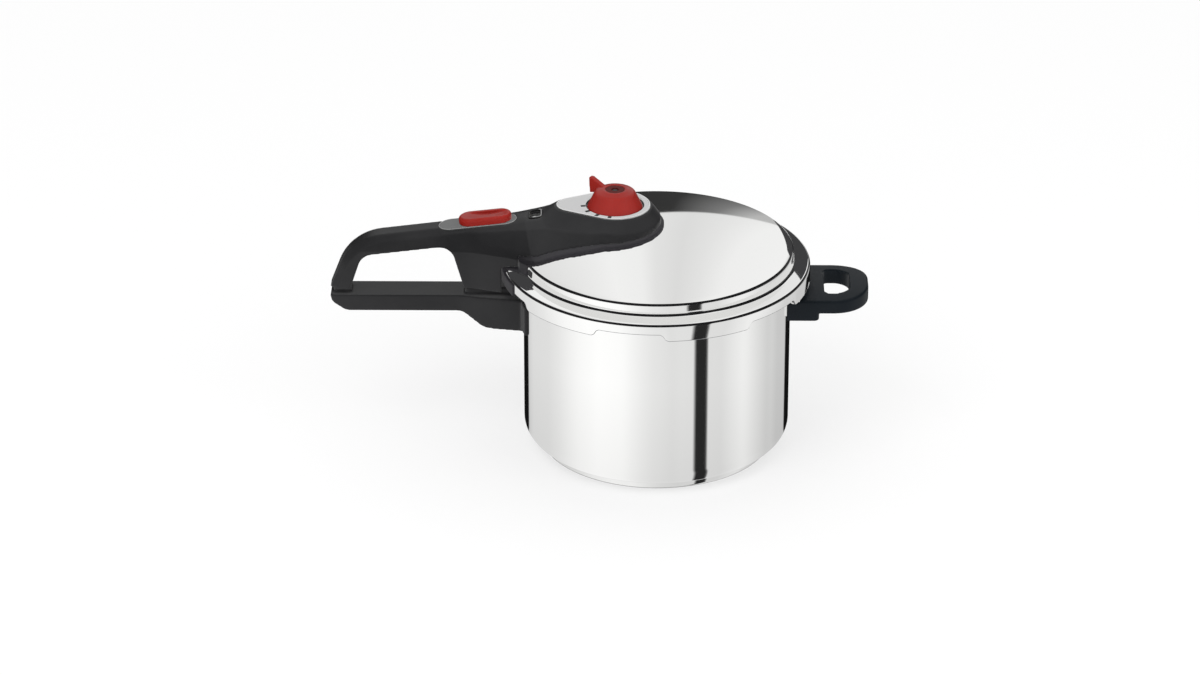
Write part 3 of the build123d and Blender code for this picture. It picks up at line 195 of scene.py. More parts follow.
for lamp_name, place, target, size, power in (
    ("key", (-0.9, -1.3, 1.9), (-0.05, 0, 0.15), 1.2, 12),
    ("fill", (1.4, -0.9, 1.2), (0, 0, 0.1), 1.0, 5),
):
    lamp_data = bpy.data.lights.new(lamp_name, "AREA")
    lamp_data.size = size
    lamp_data.energy = power
    lamp = placed(lamp_name, lamp_data)
    lamp.location = place
    lamp.rotation_euler = (Vector(target) - Vector(place)).to_track_quat("-Z", "Y").to_euler()
    lamp.visible_glossy = False


def new_material(name):
    """Empty material, and its nodes."""
    material = bpy.data.materials.new(name)
    material.use_nodes = True
    return material, Nodes(material.node_tree)


def ray_start(nodes, rays):
    """The way a ray travels, and the three parts of the point that it set out from."""
    hit = nodes.add("ShaderNodeNewGeometry").outputs
    travel = nodes.scaled(hit["Incoming"], -1.0)
    start = nodes.vector("SUBTRACT", hit["Position"], nodes.scaled(travel, rays["Ray Length"]))
    return travel, nodes.parts(start)


def by_bearing(stops):
    """Stops of a ramp from bearings in degrees, where 0 is straight to the front."""
    return [(0.5 + degrees / 360, tone) for degrees, tone in stops]


# The floor. A ray that the steel mirrors down to it is shown the tone of the bearing in which an upright
# wall would have sent it, so that the pot's rounded foot carries on the strips of its wall.
TALLEST, DOME_FOOT = 0.2, 0.1765
CORNER_TOP, CORNER_RADIUS, BASE_TOP = 0.0225, 0.016, 0.0067
STRIP, BLACK = 40, 18


def by_height(stops):
    """Stops of a ramp from heights in metres."""
    return [(metres / TALLEST, value) for metres, value in stops]


floor_mesh = bpy.data.meshes.new("floor")
floor_mesh.from_pydata([(-6, -6, 0), (6, -6, 0), (6, 6, 0), (-6, 6, 0)], [], [(0, 1, 2, 3)])
floor = placed("floor", floor_mesh)
floor_paint, table = new_material("floor_paint")
rays = table.add("ShaderNodeLightPath").outputs
travel, (start_x, start_y, start_z) = ray_start(table, rays)
outwards = table.vector("NORMALIZE", table.joined(start_x, start_y))
lean = table.math("MULTIPLY", table.math("SUBTRACT", CORNER_TOP, start_z), 1 / CORNER_RADIUS)
lean = table.math("ARCSINE", table.math("MINIMUM", table.math("MAXIMUM", lean, 0.0), 1.0))
lean = table.math("MULTIPLY", lean, table.math("GREATER_THAN", start_z, BASE_TOP))
downwards = table.joined(z=table.math("MULTIPLY", table.math("SINE", lean), -1.0))
corner_normal = table.vector("ADD", table.scaled(outwards, table.math("COSINE", lean)), downwards)
leaving = table.parts(table.vector("REFLECT", table.vector("REFLECT", travel, corner_normal), outwards))
bearing = table.math("ARCTAN2", leaving[0], table.math("MULTIPLY", leaving[1], -1.0))
bearing = table.math("MULTIPLY_ADD", bearing, 0.5 / math.pi, 0.5)
# the skirt and the flange stand further out than the pot's wall and the base further in, so they see the
# strips turned a little
how_high = table.math("MULTIPLY", start_z, 1 / TALLEST)
shift = table.ramp(how_high, by_height([(0.0, 0.0), (0.1484, 0.0183), (0.1664, 0.0239)]), "CONSTANT")
near_strip = table.ramp(bearing, [(0.5, 0.0), (0.55, 1.0), (0.70, 1.0), (0.80, 0.0)])
bearing = table.math("ADD", bearing, table.math("MULTIPLY", shift, near_strip))
bearing = table.math("MULTIPLY_ADD", table.math("LESS_THAN", start_z, BASE_TOP), -0.0186, bearing)
front_tones = table.tone(
    bearing,
    by_bearing([
        (-151.4, BLACK), (-150.0, 205), (-138, 219), (-110, 222), (-96, 230), (-84, 240), (-73, 248),
        (-53, 255), (-43, 254), (-30, 252), (-21, 244), (-12, 236), (-3, 229), (5, 226), (14, 222), (22, 224),
        (32.9, 223), (34.2, STRIP), (44.8, STRIP), (46.1, 221), (59, 220), (70, 230), (81, 238), (86, 236),
        (99, 222), (113, 207), (121, 208), (131, 198), (150.0, 196), (151.4, BLACK),
    ]),
)
# behind the object the floor is paler, with two thin dark gaps
rear_tones = table.tone(
    bearing,
    by_bearing([
        (-180, 230), (-165.6, 222), (-165, BLACK), (-154.1, BLACK), (-153.4, 212), (-136.8, 216), (0, 226),
        (136.8, 216), (153.4, 208), (154.1, BLACK), (165, BLACK), (165.6, 222), (180, 230),
    ]),
)
tones = table.blend(table.step(table.math("SUBTRACT", start_y, 0.010), 0.003), front_tones, rear_tones)
# the foot and the base's edge see the floor darker close under them: painted shade in what they mirror
mirrored_floor_shade = table.ramp(
    how_high,
    by_height([(0.0, 0.86), (0.0064, 0.86), (0.0068, 0.70), (0.0078, 0.72), (0.0088, 0.90), (0.1, 1.0)]),
)
tones = table.blend(1.0, tones, mirrored_floor_shade, "MULTIPLY")
from_dome = table.math("GREATER_THAN", start_z, DOME_FOOT)
tones = table.blend(from_dome, tones, table.tone(table.math("ADD", leaving[0], 0.5), WALL_TONES))
tones = table.blend(table.math("GREATER_THAN", rays["Glossy Depth"], 1.5), tones, SECOND_MIRROR)
white = table.add("ShaderNodeBsdfDiffuse", inputs={"Color": (0.93, 0.93, 0.93, 1)}).outputs[0]
even = table.light("ShaderNodeEmission", WHITE)
soft_white = table.mix(table.math("MULTIPLY", rays["Is Camera Ray"], 0.6), white, even)
floor_shader = table.mix(rays["Is Glossy Ray"], soft_white, table.light("ShaderNodeEmission", tones))
table.add("ShaderNodeOutputMaterial", inputs={"Surface": floor_shader})
floor_mesh.materials.append(floor_paint)

# A clear shell round the studio lets every ray through to the room, but lights the rest of the room for rays
# that leave the top of the lid, so that the dome is pale from every side and its edges keep their dark lines.
DOME_EDGE_RADIUS = 0.1098
shell_mesh = bpy.data.meshes.new("open_shell")
bm = bmesh.new()
bmesh.ops.create_uvsphere(bm, u_segments=64, v_segments=32, radius=5.0)
bmesh.ops.delete(bm, geom=[v for v in bm.verts if v.co.z < -0.1], context="VERTS")
bm.to_mesh(shell_mesh)
bm.free()
shell = placed("open_shell", shell_mesh)
shell_paint, open_room = new_material("shell_paint")
rays = open_room.add("ShaderNodeLightPath").outputs
travel, (start_x, start_y, start_z) = ray_start(open_room, rays)
from_axis = open_room.length(open_room.joined(start_x, start_y))
side, depth, height, front, sides = panel_edges(open_room, travel)
before = open_room.step(open_room.math("MULTIPLY", front, -1.0), 0.06)
beside = open_room.step(open_room.math("MULTIPLY", sides, -1.0), 0.03)
high = open_room.step(open_room.math("SUBTRACT", height, 0.26), 0.06)
not_behind = open_room.step(open_room.math("SUBTRACT", 0.2, depth), 0.2)
beside = open_room.math("MULTIPLY", beside, open_room.math("MAXIMUM", high, not_behind))
over_lid = open_room.math("GREATER_THAN", start_z, DOME_FOOT)
left_dome = open_room.product(over_lid, open_room.math("LESS_THAN", from_axis, DOME_EDGE_RADIUS))
first_mirror = open_room.product(open_room.math("LESS_THAN", rays["Glossy Depth"], 1.5), rays["Is Glossy Ray"])
lit = open_room.product(open_room.math("MAXIMUM", before, beside), left_dome, first_mirror)
through = open_room.add("ShaderNodeBsdfTransparent").outputs[0]
wash = open_room.light("ShaderNodeEmission", WHITE, open_room.math("MULTIPLY_ADD", height, 0.45, 0.40))
shell_shader = open_room.mix(lit, through, wash)

# Two dark screens close to the rim, seen only in the steel, are painted dark reflections: they are worked out
# from where a ray would cross them, so that nothing has to stand there. The first is bent round the rim on the
# helper side, and its top edge falls towards the back.
SCREEN_RADIUS, SCREEN_FOOT, SCREEN_TOP = 0.130, 0.166, 0.199
SCREEN_START, SCREEN_END, FALL_START, FALL = 0.105, 0.663, 0.31, 0.06
run = open_room.math("ADD", open_room.product(side, side), open_room.product(depth, depth))
lead = open_room.math("ADD", open_room.product(side, start_x), open_room.product(depth, start_y))
inside = open_room.math("SUBTRACT", SCREEN_RADIUS**2, open_room.product(from_axis, from_axis))
root = open_room.math("ADD", open_room.product(lead, lead), open_room.product(run, inside))
reach = open_room.math("DIVIDE", open_room.math("SUBTRACT", open_room.math("SQRT", root), lead), run)
cross_x = open_room.math("MULTIPLY_ADD", side, reach, start_x)
cross_y = open_room.math("MULTIPLY_ADD", depth, reach, start_y)
cross_z = open_room.math("MULTIPLY_ADD", height, reach, start_z)
turned = open_room.math("ARCTAN2", cross_y, cross_x)
fallen = open_room.math("MAXIMUM", open_room.math("SUBTRACT", turned, FALL_START), 0.0)
top = open_room.math("MULTIPLY_ADD", fallen, -FALL, SCREEN_TOP)
bent_screen = open_room.product(
    open_room.math("GREATER_THAN", inside, 0.0), open_room.between(turned, SCREEN_START, SCREEN_END),
    open_room.between(cross_z, SCREEN_FOOT, top),
)
# the second is flat and faces the handle's wing, low enough for the flange alone to see it
FLAT_Y, FLAT_LEFT, FLAT_RIGHT, FLAT_TOP = -0.024, -0.134, -0.097, 0.189
reach = open_room.math("DIVIDE", open_room.math("SUBTRACT", FLAT_Y, start_y), depth)
cross_x = open_room.math("MULTIPLY_ADD", side, reach, start_x)
cross_z = open_room.math("MULTIPLY_ADD", height, reach, start_z)
flat_screen = open_room.product(
    open_room.math("GREATER_THAN", reach, 0.0), open_room.between(cross_x, FLAT_LEFT, FLAT_RIGHT),
    open_room.between(cross_z, SCREEN_FOOT, FLAT_TOP),
)
screened = open_room.product(open_room.math("MAXIMUM", bent_screen, flat_screen), rays["Is Glossy Ray"])
# painted dark reflection of the two screens
painted_dark_reflection = open_room.light("ShaderNodeEmission", (0.05, 0.05, 0.052, 1))
open_room.add("ShaderNodeOutputMaterial", inputs={"Surface": open_room.mix(screened, shell_shader, painted_dark_reflection)})
shell_paint.cycles.emission_sampling = "NONE"
shell_mesh.materials.append(shell_paint)
shell.visible_camera = False
shell.visible_diffuse = False
shell.visible_shadow = False
shell.visible_transmission = False

# ---------------------------------------------------------------- pot shell
# The pot is one sheet of stainless steel, deep drawn and mirror polished. Its rim is rolled outwards and
# down at six lugs that the lid's lips hook under. Sizes of pieces are in millimetres from here on, and in
# metres where a node tree or a modifier takes them.
POT_RADIUS, POT_WALL, POT_FLOOR, POT_CORNER = 111.0, 1.0, 6.5, 16.0
RIM, RIM_SHEET, RIM_EDGE, NECK_FILLET, MOUTH_EDGE = 158.0, 1.2, 0.9, 0.8, 1.2
LUG_RADIUS, GAP_RADIUS, LUG_DEPTH = 121.5, 116.2, 6.5
FIRST_LUG, LUG_PITCH, LUG_HALF, LUG_SLOPE = 169.5, 60, 9.0, 1.5


def rounded(corners, steps=6):
    """Points of a closed outline whose corners are (across, up, radius of the rounding)."""
    points = []
    for i, (x, y, radius) in enumerate(corners):
        here = np.array((x, y), float)
        if radius <= 0:
            points.append((x, y))
            continue
        before = np.array(corners[i - 1][:2], float) - here
        after = np.array(corners[(i + 1) % len(corners)][:2], float) - here
        before /= np.linalg.norm(before)
        after /= np.linalg.norm(after)
        half = math.acos(max(-1, min(1, float(before @ after)))) / 2
        middle = before + after
        centre = here + middle / np.linalg.norm(middle) * radius / math.sin(half)
        first = here + before * radius / math.tan(half) - centre
        last = here + after * radius / math.tan(half) - centre
        turn = math.atan2(first[0] * last[1] - first[1] * last[0], first @ last)
        for k in range(steps + 1):
            a = turn * k / steps
            c, s = math.cos(a), math.sin(a)
            points.append(tuple(centre + (first[0] * c - first[1] * s, first[0] * s + first[1] * c)))
    return points


def finish_mesh(name, bm, sharp=35):
    """Object in metres from a bmesh in millimetres, smooth but for its sharp edges."""
    bmesh.ops.remove_doubles(bm, verts=bm.verts, dist=1e-4)
    bmesh.ops.dissolve_degenerate(bm, edges=bm.edges, dist=1e-4)
    bmesh.ops.recalc_face_normals(bm, faces=bm.faces)
    bmesh.ops.scale(bm, vec=(0.001, 0.001, 0.001), verts=bm.verts)
    mesh = bpy.data.meshes.new(name)
    bm.to_mesh(mesh)
    bm.free()
    mesh.shade_smooth()
    mesh.set_sharp_from_angle(angle=math.radians(sharp))
    return placed(name, mesh)


def ring(name, outline_at, count=288):
    """Turned or pressed ring round the pot's axis: outline_at(degrees) gives its closed section there."""
    bm = bmesh.new()
    loops = []
    for i in range(count):
        angle = 360 * i / count
        c, s = math.cos(math.radians(angle)), math.sin(math.radians(angle))
        loops.append([bm.verts.new((r * c, r * s, z)) for r, z in outline_at(angle)])
    for i in range(count):
        a, b = loops[i], loops[(i + 1) % count]
        for k in range(len(a)):
            n = (k + 1) % len(a)
            bm.faces.new((a[k], b[k], b[n], a[n]))
    return finish_mesh(name, bm)


def near_lug(angle, half_width, slope):
    """1 within half_width degrees of the middle of a lug, 0 beyond a slope of that many degrees."""
    off = abs((angle - FIRST_LUG + LUG_PITCH / 2) % LUG_PITCH - LUG_PITCH / 2)
    t = min(1, max(0, (half_width + slope - off) / slope))
    return t * t * (3 - 2 * t)


def pot_outline(angle):
    lug = near_lug(angle, LUG_HALF, LUG_SLOPE)
    reach = GAP_RADIUS + lug * (LUG_RADIUS - GAP_RADIUS)
    low = RIM - RIM_SHEET - lug * (LUG_DEPTH - RIM_SHEET)
    bore, floor_top = POT_RADIUS - POT_WALL, POT_FLOOR + POT_WALL
    corners = [
        (0, POT_FLOOR, 0), (POT_RADIUS, POT_FLOOR, POT_CORNER), (POT_RADIUS, RIM - RIM_SHEET, NECK_FILLET),
        (reach - RIM_SHEET, RIM - RIM_SHEET, 0), (reach - RIM_SHEET, low, 0), (reach, low, 0),
        (reach, RIM, RIM_EDGE), (bore, RIM, MOUTH_EDGE), (bore, floor_top, POT_CORNER - POT_WALL),
        (0, floor_top, 0),
    ]
    return rounded(corners, 10)


def shared_group(name, inputs, outputs):
    """Empty shader node group with these named sockets."""
    group = bpy.data.node_groups.new(name, "ShaderNodeTree")
    for label, default in inputs:
        socket = group.interface.new_socket(label, in_out="INPUT", socket_type="NodeSocketFloat")
        socket.default_value = default
    for label, kind in outputs:
        group.interface.new_socket(label, in_out="OUTPUT", socket_type=kind)
    return group


# Polish marks: fine rings left by the polishing mop, and larger soft clouds of uneven polish.
polish = shared_group(
    "polish_marks",
    [("Ring Scale", 900.0), ("Base Roughness", 0.05), ("Roughness Spread", 0.03)],
    [("Roughness", "NodeSocketFloat"), ("Height", "NodeSocketFloat")],
)
nodes = Nodes(polish)
given = nodes.add("NodeGroupInput").outputs
place = nodes.add("ShaderNodeTexCoord").outputs["Object"]
x, y, z = nodes.parts(place)
off_axis = nodes.math("SQRT", nodes.math("ADD", nodes.math("POWER", x, 2.0), nodes.math("POWER", y, 2.0)))
turned = {"Vector": nodes.joined(z, off_axis), "Scale": given["Ring Scale"], "Detail": 3.0}
rings = nodes.add("ShaderNodeTexNoise", inputs=turned).outputs[0]
clouds = nodes.add("ShaderNodeTexNoise", inputs={"Vector": place, "Scale": 22.0, "Detail": 2.0}).outputs[0]
uneven = nodes.math("MULTIPLY", rings, clouds)
rough = nodes.math("MULTIPLY_ADD", uneven, given["Roughness Spread"], given["Base Roughness"])
nodes.add("NodeGroupOutput", inputs={"Roughness": rough, "Height": rings})


def surface_marks(nodes, group, scale_name, scale, roughness, spread, strength, depth):
    """Places a group of surface marks in a material: its roughness, its bumped normal and its outputs."""
    marks = nodes.add("ShaderNodeGroup", node_tree=group)
    marks.inputs[scale_name].default_value = scale
    marks.inputs["Base Roughness"].default_value = roughness
    marks.inputs["Roughness Spread"].default_value = spread
    relief = {"Strength": strength, "Distance": depth, "Height": marks.outputs["Height"]}
    normal = nodes.add("ShaderNodeBump", inputs=relief).outputs[0]
    return {"Roughness": marks.outputs["Roughness"], "Normal": normal}, marks.outputs


def metal(name, colour, roughness, spread, ring_scale=900.0, bump=0.02):
    """Polished or turned metal with the polish marks above."""
    material, nodes = new_material(name)
    surface, _ = surface_marks(nodes, polish, "Ring Scale", ring_scale, roughness, spread, bump, 0.00002)
    surface |= {"Base Color": (*colour, 1), "Metallic": 1.0}
    steel = nodes.add("ShaderNodeBsdfPrincipled", inputs=surface)
    nodes.add("ShaderNodeOutputMaterial", inputs={"Surface": steel.outputs[0]})
    return material


mirror_steel = metal("mirror_steel", (0.93, 0.93, 0.92), roughness=0.035, spread=0.05)


def dress(piece, material, body, stands_for=None):
    """Gives a finished piece its material and its body, and hides the CAD node it stands for."""
    piece.data.materials.clear()
    piece.data.materials.append(material)
    if stands_for:
        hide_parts(stands_for)
    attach(piece, body)
    return piece


dress(ring("pot_shell_drawn", pot_outline), mirror_steel, "pot", "pot_shell")

# ---------------------------------------------------------------- heat-spreading base
# An aluminium disc pressed on under the pot, closed by a thin steel cap with a rounded edge. The cap is
# polished with the pot; the disc stays as pressed and is hidden in it.
BASE_RADIUS, BASE_SHEET, BASE_EDGE = 97.0, 0.8, 2.2
base_inside = BASE_RADIUS - BASE_SHEET
base_section = rounded([
    (0, 0, 0), (BASE_RADIUS, 0, BASE_EDGE), (BASE_RADIUS, POT_FLOOR, 0), (base_inside, POT_FLOOR, 0),
    (base_inside, BASE_SHEET, BASE_EDGE - BASE_SHEET), (0, BASE_SHEET, 0),
])
base_cap = ring("base_cap_pressed", lambda angle: base_section, 192)
dress(base_cap, mirror_steel, "pot", "base_cap")


def repaint(material, *nodes):
    """CAD nodes whose shape is right keep their mesh and get a finish."""
    for node in nodes:
        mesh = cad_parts[node].data
        mesh.materials.clear()
        mesh.materials.append(material)


pressed_aluminium = metal(
    "pressed_aluminium", (0.80, 0.80, 0.81), roughness=0.35, spread=0.2, ring_scale=1200.0, bump=0.1
)
repaint(pressed_aluminium, "base_core")

# ---------------------------------------------------------------- pot handle and its bracket
# A long bar of black phenolic, moulded with a fine satin grain, on a steel tongue welded to the pot and
# held by one screw. Its edges are softened as they leave the mould.
grain = shared_group(
    "moulded_grain",
    [("Grain Scale", 1400.0), ("Base Roughness", 0.4), ("Roughness Spread", 0.12)],
    [("Roughness", "NodeSocketFloat"), ("Height", "NodeSocketFloat"), ("Tone", "NodeSocketFloat")],
)
nodes = Nodes(grain)
given = nodes.add("NodeGroupInput").outputs
place = nodes.add("ShaderNodeTexCoord").outputs["Object"]
sand = {"Vector": place, "Scale": given["Grain Scale"], "Detail": 2.0}
fine = nodes.add("ShaderNodeTexNoise", inputs=sand).outputs[0]
flow = nodes.add("ShaderNodeTexNoise", inputs={"Vector": place, "Scale": 30.0, "Detail": 3.0}).outputs[0]
rough = nodes.math("MULTIPLY_ADD", flow, given["Roughness Spread"], given["Base Roughness"])
nodes.add("NodeGroupOutput", inputs={"Roughness": rough, "Height": fine, "Tone": flow})


def moulding(name, dark, light, roughness, spread, grain_scale=1400.0, bump=0.25, coat=0.0, shine=0.5):
    """Moulded plastic: a colour that drifts a little over the surface, with the grain above."""
    material, nodes = new_material(name)
    surface, marks = surface_marks(nodes, grain, "Grain Scale", grain_scale, roughness, spread, bump, 0.00006)
    surface["Base Color"] = nodes.ramp(marks["Tone"], [(0.3, dark), (0.7, light)])
    surface |= {"Coat Weight": coat, "Coat Roughness": 0.08, "Specular IOR Level": shine}
    plastic = nodes.add("ShaderNodeBsdfPrincipled", inputs=surface)
    nodes.add("ShaderNodeOutputMaterial", inputs={"Surface": plastic.outputs[0]})
    return material


def softened(name, node, rounding, passes=6):
    """Copy of a CAD solid with the small rounding that a mould leaves on every edge."""
    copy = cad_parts[node].copy()
    copy.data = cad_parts[node].data.copy()
    copy.name = name
    copy.parent = None
    copy.hide_render = False
    copy.hide_viewport = False
    for key in list(copy.keys()):
        if key.startswith("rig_"):
            del copy[key]
    bpy.context.scene.collection.objects.link(copy)
    bm = bmesh.new()
    bm.from_mesh(copy.data)
    bmesh.ops.remove_doubles(bm, verts=bm.verts, dist=1e-6)
    bm.to_mesh(copy.data)
    bm.free()
    skin = copy.modifiers.new("skin", "REMESH")
    skin.mode = "VOXEL"
    skin.voxel_size = rounding
    skin.use_smooth_shade = True
    ease = copy.modifiers.new("ease", "SMOOTH")
    ease.factor = 0.5
    ease.iterations = passes
    mesh = bpy.data.meshes.new_from_object(copy.evaluated_get(bpy.context.evaluated_depsgraph_get()))
    mesh.name = name
    copy.modifiers.clear()
    copy.data = mesh
    mesh.shade_smooth()
    return copy


black_phenolic = moulding(
    "black_phenolic", (0.015, 0.015, 0.016), (0.021, 0.021, 0.022), roughness=0.36, spread=0.12, shine=0.20
)
pot_handle = softened("pot_handle_moulded", "pot_handle", rounding=0.0010)
dress(pot_handle, black_phenolic, "pot", "pot_handle")
satin_steel = metal(
    "satin_steel", (0.62, 0.62, 0.61), roughness=0.25, spread=0.15, ring_scale=1500.0, bump=0.1
)
repaint(satin_steel, "handle_bracket", "pot_handle_screw")

# ---------------------------------------------------------------- helper handle
# A short D-shaped grip of the same phenolic, held by two screws to a bright steel saddle on the far side
# of the pot. The saddle's two round rivet heads show in the gap under the lid's skirt.
# the grip's phenolic is painted darker and bluer than the long handle's: painted shade
shaded_phenolic = moulding(
    "shaded_phenolic", (0.006, 0.009, 0.012), (0.009, 0.012, 0.016), roughness=0.38, spread=0.12, shine=0.12
)
helper_handle = softened("helper_handle_moulded", "helper_handle", rounding=0.0008)
dress(helper_handle, shaded_phenolic, "pot", "helper_handle")
repaint(mirror_steel, "helper_bracket")
repaint(satin_steel, "helper_handle_screws")


def grown(name, values, material, build):
    """Object whose mesh a node tree grows from a few named sizes."""
    tree = bpy.data.node_groups.new(name, "GeometryNodeTree")
    tree.interface.new_socket("Geometry", in_out="OUTPUT", socket_type="NodeSocketGeometry")
    for label, value in values.items():
        kind = "NodeSocketInt" if isinstance(value, int) else "NodeSocketFloat"
        tree.interface.new_socket(label, in_out="INPUT", socket_type=kind)
    nodes = Nodes(tree)
    given = nodes.add("NodeGroupInput").outputs
    real = nodes.add("GeometryNodeRealizeInstances", inputs={0: build(nodes, given)})
    painted = nodes.add("GeometryNodeSetMaterial", inputs={"Geometry": real.outputs[0], "Material": material})
    nodes.add("NodeGroupOutput", inputs={0: painted.outputs[0]})
    piece = placed(name, bpy.data.meshes.new(name))
    growth = piece.modifiers.new("growth", "NODES")
    growth.node_group = tree
    for item in tree.interface.items_tree:
        if item.in_out == "INPUT":
            growth[item.identifier] = values[item.name]
    mesh = bpy.data.meshes.new_from_object(piece.evaluated_get(bpy.context.evaluated_depsgraph_get()))
    piece.modifiers.clear()
    mesh.name = name
    piece.data = mesh
    return piece


def round_row(nodes, given, item):
    """Items in a row on a circle round the x and height given, each turned to face outwards."""
    angle = nodes.add("GeometryNodeInputIndex").outputs[0]
    angle = nodes.math("MULTIPLY_ADD", angle, given["Step"], given["Start"])
    east = nodes.math("MULTIPLY_ADD", nodes.math("COSINE", angle), given["Radius"], given["Middle X"])
    north = nodes.math("MULTIPLY", nodes.math("SINE", angle), given["Radius"])
    place = nodes.joined(east, north, given["Height"])
    points = nodes.add("GeometryNodePoints", inputs={"Count": given["Count"], "Position": place})
    row = {"Points": points.outputs[0], "Instance": item, "Rotation": nodes.joined(z=angle)}
    return nodes.add("GeometryNodeInstanceOnPoints", inputs=row).outputs[0]


def rivet_heads(nodes, given):
    sizes = {"Segments": 24, "Rings": 12, "Radius": given["Head Radius"]}
    ball = nodes.add("GeometryNodeMeshUVSphere", inputs=sizes).outputs[0]
    flat = nodes.add("GeometryNodeTransform", inputs={"Geometry": ball, "Scale": (1.0, 1.0, 0.55)})
    return round_row(nodes, given, flat.outputs[0])


rivet_sizes = {
    "Count": 2, "Radius": 0.1212, "Middle X": 0.0, "Height": 0.143, "Start": math.radians(-7.5),
    "Step": math.radians(15.0), "Head Radius": 0.0021,
}
rivets = grown("saddle_rivets", rivet_sizes, mirror_steel, rivet_heads)
rivets.data.shade_smooth()
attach(rivets, "pot")

# ---------------------------------------------------------------- gasket
# A grey silicone ring with two thin lips that lies between the pot's rim and the lid's flange. It is
# pushed into the lid by hand and lifts out for washing.
silicone = moulding(
    "silicone", (0.30, 0.31, 0.32), (0.36, 0.37, 0.38), roughness=0.45, spread=0.1, grain_scale=500.0, bump=0.1
)
repaint(silicone, "sealing_gasket")

# ---------------------------------------------------------------- lid
# One pressed and polished sheet: a shallow dome with a rounded edge, a step down to a flange, and a skirt
# that covers the rim. The skirt hangs lower at six lips, each with sloping shoulders.
DOME_TOP, DOME_DROP, LID_WALL, LID_SHEET = 194.0, 17.4, 113.0, 1.2
DOME_REACH = LID_WALL - 1.82
DOME_EDGE, FLANGE_FILLET, SKIRT_SHOULDER, SKIRT_EDGE = 2.9, 3.0, 2.7, 0.9
FLANGE_IN, FLANGE_OUT, SKIRT = 165.6, 164.5, 127.0
LIP_Z, SKIRT_GAP_Z, LIP_RADIUS = 149.4, 155.2, 118.0
LIP_HALF, HOOK_HALF, LIP_SLOPE = 15.8, 14.0, 2.4
dome_sphere = (DOME_REACH**2 + DOME_DROP**2) / (2 * DOME_DROP)


def dome_height(radius, inwards=0.0):
    """Height of the dome, or of the surface that lies a distance under it."""
    return DOME_TOP - dome_sphere + math.sqrt((dome_sphere - inwards) ** 2 - radius**2)


def lid_outline(angle):
    low = SKIRT_GAP_Z + near_lug(angle, LIP_HALF, LIP_SLOPE) * (LIP_Z - SKIRT_GAP_Z)
    skirt_in, wall_in = SKIRT - LID_SHEET, LID_WALL - LID_SHEET
    lip_edge = skirt_in - 0.05 - near_lug(angle, HOOK_HALF, LIP_SLOPE) * (skirt_in - LIP_RADIUS)
    outer = [(r, dome_height(r)) for r in np.linspace(0, LID_WALL - 2.2, 30)]
    inner = [(r, dome_height(r, LID_SHEET)) for r in np.linspace(LID_WALL - 3.2, 0, 16)]
    corners = [
        (LID_WALL - 6, dome_height(LID_WALL - 6), 0), (LID_WALL, dome_height(LID_WALL), DOME_EDGE),
        (LID_WALL, FLANGE_IN, FLANGE_FILLET), (SKIRT, FLANGE_OUT, SKIRT_SHOULDER), (SKIRT, low, SKIRT_EDGE),
        (lip_edge, low, 0), (lip_edge, low + LID_SHEET, 0), (skirt_in, low + LID_SHEET + 0.02, 0),
        (skirt_in, FLANGE_OUT - LID_SHEET, 1.0), (wall_in, FLANGE_IN - LID_SHEET, FLANGE_FILLET + LID_SHEET),
        (wall_in, dome_height(LID_WALL, LID_SHEET), DOME_EDGE - LID_SHEET),
        (LID_WALL - 8, dome_height(LID_WALL - 8, LID_SHEET), 0),
    ]
    return outer[:-1] + rounded(corners, 8)[1:-1] + inner


lid = ring("lid_shell_pressed", lid_outline, 360)
dress(lid, mirror_steel, "lid", "lid_shell")
# the faces that look down from the skirt's lower edge and its lips get a duller grey steel: painted shade
# under the skirt
skirt_shade_steel = metal("skirt_shade_steel", (0.30, 0.30, 0.31), roughness=0.38, spread=0.2, ring_scale=2500.0, bump=0.15)
lid.data.materials.append(skirt_shade_steel)
for face in lid.data.polygons:
    if face.center.z < (SKIRT_GAP_Z + LID_SHEET) / 1000 and face.normal.z < -0.25:
        face.material_index = 1

# ---------------------------------------------------------------- lid handle and underplate
# The lid handle is a hollow moulding: a finger loop, a body that widens over the lid, and a round boss at
# the vent. Its underplate is a second, duller moulding, screwed on, that shows as a narrow border.
lid_handle = softened("lid_handle_moulded", "lid_handle_shell", rounding=0.0010)
dress(lid_handle, black_phenolic, "lid", "lid_handle_shell")
dark_plastic = moulding(
    "dark_plastic", (0.016, 0.015, 0.018), (0.024, 0.022, 0.027), roughness=0.5, spread=0.1,
    grain_scale=1000.0, shine=0.3,
)
underplate = softened("underplate_moulded", "handle_underplate", rounding=0.0009, passes=4)
dress(underplate, dark_plastic, "lid", "handle_underplate")
repaint(satin_steel, "underplate_screws")

# ---------------------------------------------------------------- opening button and its guide
# A red button with a dished top slides in a dark glossy guide, round whose edge a thin pale line is a painted
# highlight. A screw joins it to a bent steel slide under it, which carries the bolt, and a spring pushes both
# back.
GUIDE_X, GUIDE_Z, GUIDE_SLOPE, GUIDE_SINK = -148.5, 198.9, 6.46, 0.95
GUIDE_HALF_WIDTH, GUIDE_HALF_LENGTH = 10.35, 21.9


